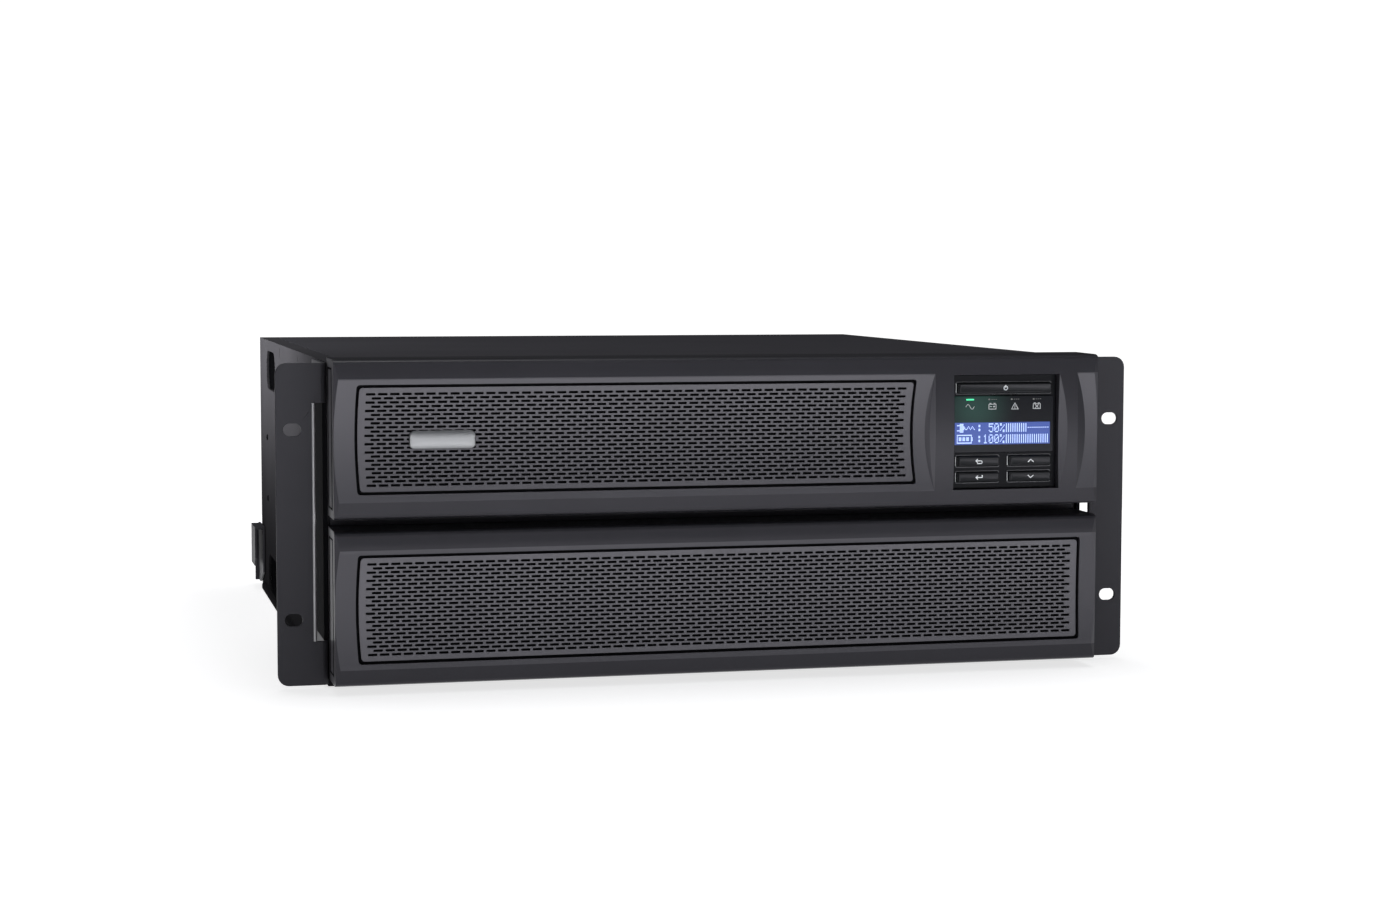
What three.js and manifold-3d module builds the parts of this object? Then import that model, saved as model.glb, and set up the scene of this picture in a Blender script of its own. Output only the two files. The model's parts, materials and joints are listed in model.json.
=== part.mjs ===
// Four-unit rack uninterruptible power supply, built as an assembly of separate pieces.
// Millimetres, +Z up, the front faces -Y and +X is to the right as seen from the front.
// Lengths along Y are measured from the front plane of the rack ears; the last group moves
// everything so that the origin is under the middle of the whole object.
import * as THREE from "three";
import { mergeVertices } from "three/addons/utils/BufferGeometryUtils.js";
import Module from "manifold-3d";

const wasm = await Module();
wasm.setup();

// ---------------------------------------------------------------- driving dimensions
const GAP = 0.3; // clearance between pieces that touch
const SHEET = 1.5; // chassis sheet metal
const CHASSIS_HALF = 214; // outer face of the side panels
const CHASSIS_TOP = 174.5;
const REAR_Y = 454; // outer face of the rear panel
const FRAME_Y = 6; // front face of the front frame
const FLANGE = 10.5; // side panels' folded edges
const SHELF_Z = 88.2; // underside of the mid shelf
const BOARD_Z = 96; // underside of the main circuit board
const BOARD_SHEET = 1.6;
const RACK_HALF = 241.3; // 19 inch panel
const RACK_SLOT_X = 232.55; // half of 465.1
const RACK_MID_Z = 88;
const RACK_SLOT_DZ = 50.8; // half of 101.6
const EAR_SHEET = 2;
const BEZEL_HALF = 213.6;
const BEZEL_FRONT = -30;
const BEZEL_BACK = 5;
const BEZEL_WALL = 2.5;
const HOOK_END_Y = 463; // rearmost point of the hook brackets
const ORIGIN_Y = (BEZEL_FRONT + HOOK_END_Y) / 2;
const CIRCLE_STEPS = 24;
const CORNER_STEPS = 2; // three.js doubles this on each corner arc

const INNER_HALF = CHASSIS_HALF - SHEET - GAP;
const PANEL_BACK_Y = REAR_Y - SHEET - GAP; // where everything in front of the rear panel ends

const UPPER = { bottom: 92.7, top: 176.9, grille: [-201.4, 105.0, 107.2, 163.4] };
const LOWER = { bottom: 4.3, top: 86.8, grille: [-201.4, 201.4, 19.4, 72.2] };
const DISPLAY = { left: 127.8, right: 190.3, bottom: 102.0, top: 165.8, face: -23.1 };

// ---------------------------------------------------------------- materials
function paint(color, roughness, metalness) {
  return new THREE.MeshStandardMaterial({ color, roughness, metalness });
}

const M = {
  chassis: paint(0x303033, 0.5, 0.4),
  bezel: paint(0x3a3a3d, 0.45, 0),
  grille: paint(0x2e2e31, 0.5, 0.1),
  badge: paint(0xc9cacd, 0.3, 0.8),
  blackPlastic: paint(0x161618, 0.45, 0),
  window: paint(0x0c0f12, 0.12, 0),
  lcd: paint(0x4a5cc8, 0.3, 0),
  button: paint(0x1c1c1f, 0.4, 0),
  board: paint(0x1e5a36, 0.55, 0),
  lightPipe: paint(0xd8e8e0, 0.2, 0),
  copper: paint(0x9a5b32, 0.4, 0.6),
  aluminium: paint(0xa9abae, 0.4, 0.9),
  capacitor: paint(0x26324a, 0.4, 0),
  battery: paint(0x55585c, 0.6, 0),
  tray: paint(0x8c8f93, 0.4, 0.8),
  contact: paint(0xb9a66a, 0.3, 0.9),
};

// ---------------------------------------------------------------- solids
function toSolid(geometry) {
  const bare = geometry.clone();
  bare.deleteAttribute("normal");
  bare.deleteAttribute("uv");
  const merged = mergeVertices(bare, 1e-4);
  return new wasm.Manifold(new wasm.Mesh({
    numProp: 3,
    vertProperties: new Float32Array(merged.attributes.position.array),
    triVerts: new Uint32Array(merged.index.array),
  }));
}

function box([x0, x1], [y0, y1], [z0, z1]) {
  const geometry = new THREE.BoxGeometry(x1 - x0, y1 - y0, z1 - z0);
  geometry.translate((x0 + x1) / 2, (y0 + y1) / 2, (z0 + z1) / 2);
  return toSolid(geometry);
}

const axisX = new THREE.Vector3(1, 0, 0);
const axisY = new THREE.Vector3(0, 1, 0);
const axisZ = new THREE.Vector3(0, 0, 1);
const basisAlongX = new THREE.Matrix4().makeBasis(axisY, axisZ, axisX);
const basisAlongY = new THREE.Matrix4().makeBasis(axisX, axisZ, axisY.clone().negate());

function extrude(shape, depth) {
  const curveSegments = shape.round ? CIRCLE_STEPS / 2 : CORNER_STEPS;
  return new THREE.ExtrudeGeometry(shape, { depth, bevelEnabled: false, curveSegments });
}

// A shape drawn in (y, z), from x0 to x1.
function alongX(shape, [x0, x1]) {
  return toSolid(extrude(shape, x1 - x0).applyMatrix4(basisAlongX).translate(x0, 0, 0));
}

// A shape drawn in (x, z), from y0 to y1.
function alongY(shape, [y0, y1]) {
  return toSolid(extrude(shape, y1 - y0).applyMatrix4(basisAlongY).translate(0, y1, 0));
}

// A shape drawn in (x, y), from z0 to z1.
function alongZ(shape, [z0, z1]) {
  return toSolid(extrude(shape, z1 - z0).translate(0, 0, z0));
}

function outline(points) {
  return new THREE.Shape(points.map(([a, b]) => new THREE.Vector2(a, b)));
}

function roundedRect(width, height, radius) {
  const shape = new THREE.Shape();
  const a = width / 2 - radius;
  const b = height / 2 - radius;
  shape.absarc(a, b, radius, 0, Math.PI / 2);
  shape.absarc(-a, b, radius, Math.PI / 2, Math.PI);
  shape.absarc(-a, -b, radius, Math.PI, 1.5 * Math.PI);
  shape.absarc(a, -b, radius, 1.5 * Math.PI, 2 * Math.PI);
  return shape;
}

function circle(radius) {
  const shape = new THREE.Shape();
  shape.absarc(0, 0, radius, 0, 2 * Math.PI);
  shape.round = true;
  return shape;
}

function rodY(radius, range) {
  return alongY(circle(radius), range);
}

function moved(solid, x, y, z) {
  return solid.translate([x, y, z]);
}

function union(solids) {
  return solids.reduce((sum, solid) => sum.add(solid));
}

function cut(solid, cutters) {
  return cutters.reduce((rest, cutter) => rest.subtract(cutter), solid);
}

function mirrored(solid) {
  return solid.mirror([1, 0, 0]);
}

// ---------------------------------------------------------------- scene graph
const ups = new THREE.Group();
ups.position.set(0, -ORIGIN_Y, 0);

function group(x = 0, y = 0, z = 0) {
  const child = new THREE.Group();
  child.position.set(x, y, z);
  ups.add(child);
  return child;
}

function add(parent, name, solid, material, [x, y, z] = [0, 0, 0]) {
  const data = solid.getMesh();
  const geometry = new THREE.BufferGeometry();
  geometry.setAttribute("position", new THREE.BufferAttribute(data.vertProperties, 3));
  geometry.setIndex(new THREE.BufferAttribute(data.triVerts, 1));
  geometry.computeVertexNormals();
  const mesh = new THREE.Mesh(geometry, material);
  mesh.name = name;
  mesh.position.set(x, y, z);
  parent.add(mesh);
}

// ---------------------------------------------------------------- chassis
const SIDE_SLITS = [{ y: 165, z: [168.4, 172] }, { y: 293, z: [165.6, 172] }];
const SIDE_HOLE = { y: 364, long: 68, high: 26, z: [154.5, 16] };

// One side panel, drawn for the right: a web with folded edges at top and bottom.
function sidePanel() {
  const web = box([CHASSIS_HALF - SHEET, CHASSIS_HALF], [FRAME_Y, PANEL_BACK_Y], [0, CHASSIS_TOP]);
  const fold = [CHASSIS_HALF - FLANGE, CHASSIS_HALF - SHEET / 2];
  const topFold = box(fold, [FRAME_Y, PANEL_BACK_Y], [CHASSIS_TOP - SHEET, CHASSIS_TOP]);
  const bottomFold = box(fold, [FRAME_Y, PANEL_BACK_Y], [0, SHEET]);
  const reach = [CHASSIS_HALF - 2 * SHEET, CHASSIS_HALF + SHEET];
  const oval = roundedRect(SIDE_HOLE.long, SIDE_HOLE.high, SIDE_HOLE.high / 2 - 0.05);
  const holes = SIDE_HOLE.z.map((z) => moved(alongX(oval, reach), 0, SIDE_HOLE.y, z));
  const slits = SIDE_SLITS.map(({ y, z }) => box(reach, [y, y + 1.4], z));
  return cut(union([web, topFold, bottomFold]), [...holes, ...slits]);
}

function basePan() {
  const half = CHASSIS_HALF - FLANGE - GAP;
  const floor = box([-half, half], [FRAME_Y, PANEL_BACK_Y], [0, SHEET]);
  const runners = [-185, -30, 30, 185].map((x) => box([x - 6, x + 6], [20, 400], [SHEET / 2, 3.4]));
  return union([floor, ...runners]);
}

function topCover() {
  const half = CHASSIS_HALF - FLANGE - GAP;
  const plate = box([-half, half], [FRAME_Y, PANEL_BACK_Y], [CHASSIS_TOP - SHEET, CHASSIS_TOP]);
  const rib = box([-half, half], [FRAME_Y, FRAME_Y + SHEET], [CHASSIS_TOP - 5, CHASSIS_TOP - SHEET / 2]);
  return union([plate, rib]);
}

function midShelf() {
  const plate = box([-INNER_HALF, INNER_HALF], [FRAME_Y + 2 * SHEET, PANEL_BACK_Y], [SHELF_Z, SHELF_Z + SHEET]);
  const posts = [];
  for (const x of [-192, -40, 112]) {
    for (const y of [70, 400]) {
      posts.push(moved(alongZ(circle(3.5), [SHELF_Z + SHEET / 2, BOARD_Z - GAP]), x, y, 0));
    }
  }
  return union([plate, ...posts]);
}

const BAY = { inner: 2, outer: 208.5, bottom: 3.4, top: 86.4 };

function frontFrame() {
  const top = CHASSIS_TOP - 5 - GAP;
  const plate = box([-INNER_HALF, INNER_HALF], [FRAME_Y, FRAME_Y + SHEET], [SHEET + GAP, top]);
  const through = [FRAME_Y - 1, FRAME_Y + SHEET + 1];
  const bays = [[-BAY.outer, -BAY.inner], [BAY.inner, BAY.outer]];
  const cutters = bays.map((x) => box(x, through, [BAY.bottom, BAY.top]));
  cutters.push(box([-200, 110], through, [97, 163]));
  cutters.push(box([DISPLAY.left - 0.2, DISPLAY.right + 0.2], through, [DISPLAY.bottom - 0.2, DISPLAY.top + 0.2]));
  return cut(plate, cutters);
}

function batteryDivider() {
  return box([-SHEET / 2, SHEET / 2], [FRAME_Y + 2 * SHEET, 440], [SHEET + GAP, SHELF_Z - GAP]);
}

// ---------------------------------------------------------------- rack ears and hooks
const EAR = { bottom: RACK_MID_Z - 86.2, top: RACK_MID_Z + 86.2, radius: 6, window: [25.5, 153] };
const EAR_FLANGE = [CHASSIS_HALF + GAP, CHASSIS_HALF + GAP + EAR_SHEET];
const EAR_LIP = { x: 222.3, front: -0.8, back: 3.2 };

function rackEar() {
  const plate = new THREE.Shape();
  plate.moveTo(EAR_FLANGE[0], EAR.bottom);
  plate.lineTo(RACK_HALF - EAR.radius, EAR.bottom);
  plate.absarc(RACK_HALF - EAR.radius, EAR.bottom + EAR.radius, EAR.radius, -Math.PI / 2, 0);
  plate.absarc(RACK_HALF - EAR.radius, EAR.top - EAR.radius, EAR.radius, 0, Math.PI / 2);
  plate.lineTo(EAR_FLANGE[0], EAR.top);
  const face = alongY(plate, [0, EAR_SHEET]);
  const flange = box(EAR_FLANGE, [EAR_SHEET / 2, 58], [EAR.bottom + 1, EAR.top - 1]);
  const lip = box([EAR_LIP.x, EAR_LIP.x + EAR_SHEET], [EAR_LIP.front, EAR_LIP.back], EAR.window);
  const through = [-1, EAR_SHEET + 1];
  const slots = [-RACK_SLOT_DZ, RACK_SLOT_DZ].map((dz) =>
    moved(alongY(roundedRect(9.5, 6.8, 3.39), through), RACK_SLOT_X, 0, RACK_MID_Z + dz));
  const window = box([EAR_FLANGE[1], EAR_LIP.x], through, EAR.window);
  return cut(union([face, flange, lip]), [...slots, window]);
}

// Folded bracket at the rear corner: an inner leg on the side panel, a web, a shorter outer leg
// and a fold along the inner leg's rear edge.
function rearHook() {
  const inner = CHASSIS_HALF + GAP;
  const outer = 221.3;
  const innerLeg = outline([[424, 43.5], [424, 12], [452, 2.5], [HOOK_END_Y, 2.5], [HOOK_END_Y, 43.5]]);
  const outerLeg = outline([[424, 43.5], [424, 22], [430, 16], [457, 16], [457, 43.5]]);
  const legs = [alongX(innerLeg, [inner, inner + SHEET]), alongX(outerLeg, [outer - SHEET, outer])];
  const web = box([inner, outer], [424, 457], [42, 43.5]);
  const rearFold = box([inner, inner + 4], [HOOK_END_Y - SHEET, HOOK_END_Y], [2.5, 38]);
  return union([...legs, web, rearFold]);
}

// ---------------------------------------------------------------- bezels
// Each bezel's face is a shallow pillow. The field round the grille is hollowed out of it.
const PILLOW_DROP = 2.6;
const FIELD_HOLLOW = 2.8;
const FIELD_EDGE = { below: 9.2, above: 10.2 };
const FACE_LEVELS = [0.02, 0.055, 0.11, 0.22, 0.33, 0.44, 0.55, 0.66, 0.77, 0.88, 0.94, 0.98];
const SURROUND = [114.2, 203.5]; // the part of the upper face round the display isn't hollowed
const GRILLE_BACK = -22.8;

function pillow({ bottom, top }, z) {
  const share = (z - (bottom + top) / 2) / ((top - bottom) / 2);
  return BEZEL_FRONT + PILLOW_DROP * share ** 2;
}

function hollow(part, z) {
  const low = part.bottom + FIELD_EDGE.below;
  const high = part.top - FIELD_EDGE.above;
  const share = (z - (low + high) / 2) / ((high - low) / 2);
  return pillow(part, z) + FIELD_HOLLOW * Math.max(0, 1 - share ** 2);
}

function bezelProfile(part, face, inset) {
  const back = inset ? BEZEL_BACK + 1 : BEZEL_BACK;
  const low = part.bottom + inset;
  const high = part.top - inset;
  const front = FACE_LEVELS.map((level) => {
    const z = low + level * (high - low);
    return [face(part, z) + inset, z];
  });
  return outline([[back, low], [-24 + inset, low + 0.6], ...front, [-24 + inset, high - 0.6], [back, high]]);
}

function bezelShell(part, surround) {
  const reach = BEZEL_HALF - BEZEL_WALL;
  const outer = [alongX(bezelProfile(part, hollow, 0), [-BEZEL_HALF, BEZEL_HALF])];
  const inner = [alongX(bezelProfile(part, hollow, BEZEL_WALL), [-reach, reach])];
  if (surround) {
    const [left, right] = surround;
    outer.push(alongX(bezelProfile(part, pillow, 0), surround));
    inner.push(alongX(bezelProfile(part, pillow, BEZEL_WALL), [left + BEZEL_WALL, right - BEZEL_WALL]));
  }
  const [x0, x1, z0, z1] = part.grille;
  const opening = box([x0, x1], [BEZEL_FRONT - 1, BEZEL_FRONT + 10], [z0, z1]);
  return cut(union(outer), [...inner, opening]);
}

function upperBezel() {
  const { left, right, bottom, top } = DISPLAY;
  const wall = 1.6;
  const sleeve = box([left - wall, right + wall], [-27.8, -14], [bottom - wall, top + wall]);
  const opening = box([left, right], [BEZEL_FRONT - 1, BEZEL_BACK], [bottom, top]);
  return cut(union([bezelShell(UPPER, SURROUND), sleeve]), [opening]);
}

// Grille insert: a hollowed face in the bezel's opening, a rim behind it and rows of long slots.
function grille(part, columns) {
  const [x0, x1, z0, z1] = part.grille;
  const steps = 8;
  const front = Array.from({ length: steps + 1 }, (_, step) => {
    const z = z0 + GAP + ((z1 - z0 - 2 * GAP) * step) / steps;
    return [hollow(part, z) + 0.5, z];
  });
  const profile = outline([[GRILLE_BACK, z0 + GAP], ...front, [GRILLE_BACK, z1 - GAP]]);
  const face = alongX(profile, [x0 + GAP, x1 - GAP]);
  const rimFront = BEZEL_FRONT + FIELD_HOLLOW + BEZEL_WALL + GAP + 0.1;
  const rim = box([x0 - 3, x1 + 3], [rimFront, GRILLE_BACK], [z0 - 2, z1 + 2]);
  const rows = 11;
  const rowPitch = (z1 - z0 - 6) / rows;
  const columnPitch = (x1 - x0 - 8) / columns;
  const through = [BEZEL_FRONT - 1, BEZEL_FRONT + 10];
  const slots = [];
  for (let row = 0; row < rows; row += 1) {
    const z = z0 + 3 + (row + 0.5) * rowPitch;
    for (let column = 0; column < columns; column += 1) {
      const x = x0 + 4 + (column + 0.5) * columnPitch;
      slots.push(box([x - columnPitch / 2 + 3, x + columnPitch / 2 - 3], through, [z - 0.9, z + 0.9]));
    }
  }
  return cut(union([face, rim]), slots);
}

const BADGE = { x: -156.4, z: 134.4, thick: 1.4 };

function badge() {
  const back = hollow(UPPER, BADGE.z) + 0.5 - GAP;
  return alongY(roundedRect(35, 9.6, 2.4), [back - BADGE.thick, back]);
}

// ---------------------------------------------------------------- display module
const LCD = { x: [131.5, 186.2], z: [126.8, 139.1] };
const BUTTON_STEM = 1.6; // half width
const LED_X = [138.8, 152, 165.3, 178.3];
const LED_Z = 152;
const BUTTONS = [
  { name: "power_button", x: [131.6, 186.4], z: [155.6, 161.0] },
  { name: "escape_button", x: [131.6, 155.8], z: [114.9, 120.2] },
  { name: "up_button", x: [162.2, 186.4], z: [114.9, 120.2] },
  { name: "enter_button", x: [131.6, 155.8], z: [106.1, 111.3] },
  { name: "down_button", x: [162.2, 186.4], z: [106.1, 111.3] },
];
const HOUSING = { wall: 1.8, back: 19 };

function middle([low, high]) {
  return (low + high) / 2;
}

function displayHousing() {
  const { left, right, bottom, top, face } = DISPLAY;
  const x = [left + GAP, right - GAP];
  const z = [bottom + GAP, top - GAP];
  const { wall, back } = HOUSING;
  const inside = box([x[0] + wall, x[1] - wall], [face + wall, back + 1], [z[0] + wall, z[1] - wall]);
  const through = [face - 1, face + wall + 1];
  const lcdHole = box([LCD.x[0] - GAP, LCD.x[1] + GAP], through, [LCD.z[0] - GAP, LCD.z[1] + GAP]);
  const stem = BUTTON_STEM + 0.5;
  const stemHoles = BUTTONS.map((b) => box(
    [middle(b.x) - stem, middle(b.x) + stem], through, [middle(b.z) - stem, middle(b.z) + stem]));
  const ledHoles = LED_X.map((led) => box([led - 2.7, led + 2.7], through, [LED_Z - 1.1, LED_Z + 1.1]));
  return cut(box(x, [face, back], z), [inside, lcdHole, ...stemHoles, ...ledHoles]);
}

function displayWindow() {
  const y = [DISPLAY.face - GAP - 1, DISPLAY.face - GAP];
  return box([129.6, 188.4], y, [122.2, 153.8]);
}

function lcdModule() {
  const glass = box(LCD.x, [DISPLAY.face + 0.1, -19], LCD.z);
  const frame = box([131, 186.7], [-20.6, -17], [124.5, 141.4]);
  return union([glass, frame]);
}

const SWITCH_TOP = -16.6;
const DISPLAY_BOARD = [-14.2, -12.6];

function displayBoard() {
  const plate = box([130.6, 187.5], DISPLAY_BOARD, [104.9, 162.9]);
  const switches = BUTTONS.map((b) => box(
    [middle(b.x) - 2.5, middle(b.x) + 2.5], [SWITCH_TOP, middle(DISPLAY_BOARD)], [middle(b.z) - 2, middle(b.z) + 2]));
  return union([plate, ...switches]);
}

function lightPipes() {
  const bar = box([136, 181], [-19.5, -17.5], [LED_Z - 1.5, LED_Z + 1.5]);
  const prongs = LED_X.map((led) => box([led - 2.3, led + 2.3], [DISPLAY.face + 0.1, -18.5], [LED_Z - 0.7, LED_Z + 0.7]));
  return union([bar, ...prongs]);
}

function button({ x, z }) {
  const capBack = DISPLAY.face - 1.3;
  const cap = box(x, [capBack - 2.2, capBack], z);
  const cx = middle(x);
  const cz = middle(z);
  const stem = box(
    [cx - BUTTON_STEM, cx + BUTTON_STEM], [capBack - 1, SWITCH_TOP - 1.5], [cz - BUTTON_STEM, cz + BUTTON_STEM]);
  return union([cap, stem]);
}

function displayCradle() {
  const { left, right, bottom, top } = DISPLAY;
  const wall = 1.6;
  const y = [FRAME_Y + SHEET + GAP, 26];
  const outer = box([left - wall - 0.1, right + wall + 0.1], y, [bottom - wall - 0.1, top + wall + 0.1]);
  const inner = box([left - 0.1, right + 0.1], [y[0] - 1, y[1] - wall], [bottom - 0.1, top + 0.1]);
  const cableHole = box([150, 170], [20, 30], [125, 145]);
  return cut(outer, [inner, cableHole]);
}

// ---------------------------------------------------------------- battery modules
// Drawn for the right bay.
const TRAY = { x: [BAY.inner + 0.6, BAY.outer - 0.6], y: [10, 412], z: [3.8, 85.8], sheet: 1.2 };

function batteryTray() {
  const { x, y, z, sheet } = TRAY;
  const inside = box(
    [x[0] + sheet, x[1] - sheet], [y[0] + sheet, y[1] - sheet], [z[0] + sheet, z[1] + 1]);
  const lowSides = box([x[0] - 1, x[1] + 1], [y[0] + 30, y[1] - 30], [45, z[1] + 1]);
  return cut(box(x, y, z), [inside, lowSides]);
}

function batteryBlock(y0, y1) {
  const x = [TRAY.x[0] + TRAY.sheet + 1, TRAY.x[1] - TRAY.sheet - 1];
  const floor = TRAY.z[0] + TRAY.sheet + GAP;
  const block = box(x, [y0, y1], [floor, 74]);
  const seam = box([middle(x) - 0.6, middle(x) + 0.6], [y0 - 1, y1 + 1], [66, 75]);
  const terminals = [0.25, 0.75].flatMap((part) => {
    const cx = x[0] + (x[1] - x[0]) * part;
    return [-30, 30].map((dx) => box([cx + dx - 3, cx + dx + 3], [y0 + 8, y0 + 9.2], [73, 79]));
  });
  return union([cut(block, [seam]), ...terminals]);
}

const HANDLE = { half: 48, front: -10, bar: 4, z: [38, 54] };

// Pull handle: a bar held by two legs that stand on the tray's front wall.
function batteryHandle() {
  const cx = middle(TRAY.x);
  const back = TRAY.y[0] - GAP;
  const bar = box([cx - HANDLE.half, cx + HANDLE.half], [HANDLE.front, HANDLE.front + HANDLE.bar], HANDLE.z);
  const legs = [-1, 1].map((side) => {
    const x = cx + side * (HANDLE.half - 5);
    return box([x - 5, x + 5], [HANDLE.front, back], HANDLE.z);
  });
  return union([bar, ...legs]);
}

// ---------------------------------------------------------------- power electronics
function circuitBoard() {
  return box([-200, 120], [60, 410], [BOARD_Z, BOARD_Z + BOARD_SHEET]);
}

const BOARD_TOP = BOARD_Z + BOARD_SHEET + GAP;

function heatsink() {
  const base = box([-28, 28], [-70, 70], [0, 5]);
  const fins = [];
  for (let index = 0; index < 8; index += 1) {
    const x = -26.5 + (index * 53) / 7;
    fins.push(box([x - 1, x + 1], [-70, 70], [4, 52]));
  }
  return union([base, ...fins]);
}

function capacitor() {
  const profile = [[0, 0], [16, 0], [17.5, 1.5], [17.5, 44], [16.4, 46], [14, 46], [14, 45], [0, 45]];
  const lathe = new THREE.LatheGeometry(profile.map(([r, h]) => new THREE.Vector2(r, h)), CIRCLE_STEPS);
  return toSolid(lathe.rotateX(Math.PI / 2));
}

function transformer() {
  const core = box([-36, 36], [-46, 46], [0, 62]);
  const windows = [-1, 1].map((side) => box([-40, 40], [side * 24 - 9, side * 24 + 9], [13, 49]));
  const winding = box([-44, 44], [-28, 28], [14, 48]);
  return union([cut(core, windows), winding]);
}

function choke() {
  const ring = new THREE.TorusGeometry(20, 9, 10, CIRCLE_STEPS);
  return toSolid(ring);
}

// ---------------------------------------------------------------- fans
const FAN = { x: [-163, -79], z: 132, size: 80, depth: 25, bore: 38, hub: 16 };

function fanFrame() {
  const body = box([-FAN.size / 2, FAN.size / 2], [0, FAN.depth], [-FAN.size / 2, FAN.size / 2]);
  const hollow = cut(body, [rodY(FAN.bore, [-1, FAN.depth + 1])]);
  const mount = rodY(FAN.hub, [0, 4]);
  const struts = [0, 1].map((turn) => {
    const bar = box([-FAN.bore - 1, FAN.bore + 1], [0.4, 3.6], [-1.6, 1.6]);
    return bar.rotate([0, 45 + 90 * turn, 0]);
  });
  return union([hollow, mount, ...struts]);
}

function fanRotor() {
  const hub = rodY(FAN.hub, [4.8, FAN.depth - 1.5]);
  const blades = [];
  const count = 7;
  for (let index = 0; index < count; index += 1) {
    const blade = box([FAN.hub - 3, FAN.bore - 3], [-1, 1], [-11, 11]).rotate([38, 0, 0]);
    blades.push(moved(blade, 0, 14, 0).rotate([0, (index * 360) / count, 0]));
  }
  return union([hub, ...blades]);
}

// Finger guard: concentric rings joined by two crossed bars, with feet at the corners.
function fanGuard() {
  const rings = [13, 20, 27, 34, 41].map((radius) => {
    const ring = circle(radius);
    ring.holes.push(circle(radius - 1.8));
    return alongY(ring, [0, 1.8]);
  });
  const bars = [45, 135].map((angle) => box([-51, 51], [0, 1.8], [-1.5, 1.5]).rotate([0, angle, 0]));
  return union([...rings, ...bars]);
}

// ---------------------------------------------------------------- rear connectors
// Face of one flush outlet, drawn around (0, 0): a groove with cut corners around a middle and three slots.
function outletCutters(width, height, chamfer, pins) {
  const outer = outline([
    [-width / 2, -height / 2], [width / 2, -height / 2], [width / 2, height / 2 - chamfer],
    [width / 2 - chamfer, height / 2], [-width / 2 + chamfer, height / 2], [-width / 2, height / 2 - chamfer],
  ]);
  const scale = 1 - 3.6 / width;
  outer.holes.push(outline(outer.getPoints().map((p) => [p.x * scale, p.y * (1 - 3.6 / height)])));
  const groove = alongY(outer, [-12, 1]);
  return [groove, ...pins.map(([x, z, w, h]) => box([x - w / 2, x + w / 2], [-12, 1], [z - h / 2, z + h / 2]))];
}

const SMALL_PINS = [[-7, -1.6, 2.4, 4.6], [7, -1.6, 2.4, 4.6], [0, 3, 2.4, 4.6]];
const LARGE_PINS = [[-8, -2, 7.6, 3], [8, -2, 7.6, 3], [0, 4.5, 7.6, 3]];

// Bank of flush outlets; local y = 0 is the rear panel's outer face.
function outletBank(columns, rows, pitchX, pitchZ) {
  const width = columns * pitchX;
  const height = rows * pitchZ;
  const block = box([-width / 2, width / 2], [-20, 1.6], [-height / 2, height / 2]);
  const cutters = [];
  for (let column = 0; column < columns; column += 1) {
    for (let row = 0; row < rows; row += 1) {
      const x = (column - (columns - 1) / 2) * pitchX;
      const z = (row - (rows - 1) / 2) * pitchZ;
      cutters.push(...outletCutters(24.5, 17, 4.5, SMALL_PINS).map((solid) => moved(solid, x, 1, z)));
    }
  }
  return cut(block, cutters);
}

function largeOutlet() {
  const block = box([-19, 19], [-20, 1.6], [-15, 15]);
  return cut(block, outletCutters(30, 22, 2, LARGE_PINS).map((solid) => moved(solid, 0, 1, 0)));
}

const INLET = { half: [15, 11], depth: 24, bladeTip: 7 };

function powerInlet() {
  const [a, b] = INLET.half;
  const block = box([-19, 19], [-28, 2.4], [-15, 15]);
  const recess = alongY(roundedRect(2 * a, 2 * b, 2.5), [2.4 - INLET.depth, 4]);
  const blades = [[-9.5, -3], [9.5, -3], [0, 4]].map(([x, z]) =>
    box([x - 3.6, x + 3.6], [-23, 2.4 - INLET.bladeTip], [z - 1, z + 1]));
  return union([cut(block, [recess]), ...blades]);
}

function breakerBody() {
  const nut = rodY(9, [GAP, 5]);
  const bush = rodY(6.5, [-14, 4]);
  const body = box([-9, 9], [-36, -SHEET - GAP], [-14, 14]);
  const bore = rodY(4.4, [-14, 6]);
  return cut(union([nut, bush, body]), [bore]);
}

function breakerButton() {
  return rodY(4, [-12, 7]);
}

function cardCover() {
  const plate = box([-56, 56], [GAP, 1.6], [-18, 18]);
  const knobs = [-49, 49].map((x) => union([
    moved(rodY(4.2, [1, 8]), x, 0, 0), moved(rodY(1.6, [-8, 2]), x, 0, 0)]));
  const vents = [];
  for (let index = 0; index < 9; index += 1) {
    const x = -32 + index * 8;
    vents.push(box([x - 1.2, x + 1.2], [-1, 3], [-11, 11]));
  }
  return cut(union([plate, ...knobs]), vents);
}

const PORT = { usb: [4.3, 4.0], serial: [6.2, 4.6], depth: 13 };

function portShell([a, b]) {
  const shell = box([-a - 1.6, a + 1.6], [-18, 1.5], [-b - 1.6, b + 1.6]);
  const socket = box([-a, a], [1.5 - PORT.depth, 3], [-b, b]);
  return cut(shell, [socket]);
}

const DC = { cavity: [6.5, 9], pitch: 19 };

function batteryPackConnector() {
  const block = box([-24, 24], [-26, 8], [-14, 14]);
  const [a, b] = DC.cavity;
  const cavities = [-1, 1].map((side) => {
    const x = (side * DC.pitch) / 2 + side * 1.2;
    return box([x - a, x + a], [-10, 9], [-b, b]);
  });
  return cut(block, cavities);
}

const REAR = {
  bankRow: { x: 30, z: 112, columns: 4, rows: 1, pitchX: 29, pitchZ: 28 },
  bankSquare: { x: 122, z: 132, columns: 2, rows: 2, pitchX: 30, pitchZ: 30 },
  card: { x: 30, z: 150 },
  largeOutlet: { x: 180, z: 152 },
  inlet: { x: 180, z: 112 },
  breaker: { x: 180, z: 66 },
  usb: { x: -20, z: 66 },
  serial: { x: -44, z: 66 },
  pack: { x: 110, z: 58 },
};

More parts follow.
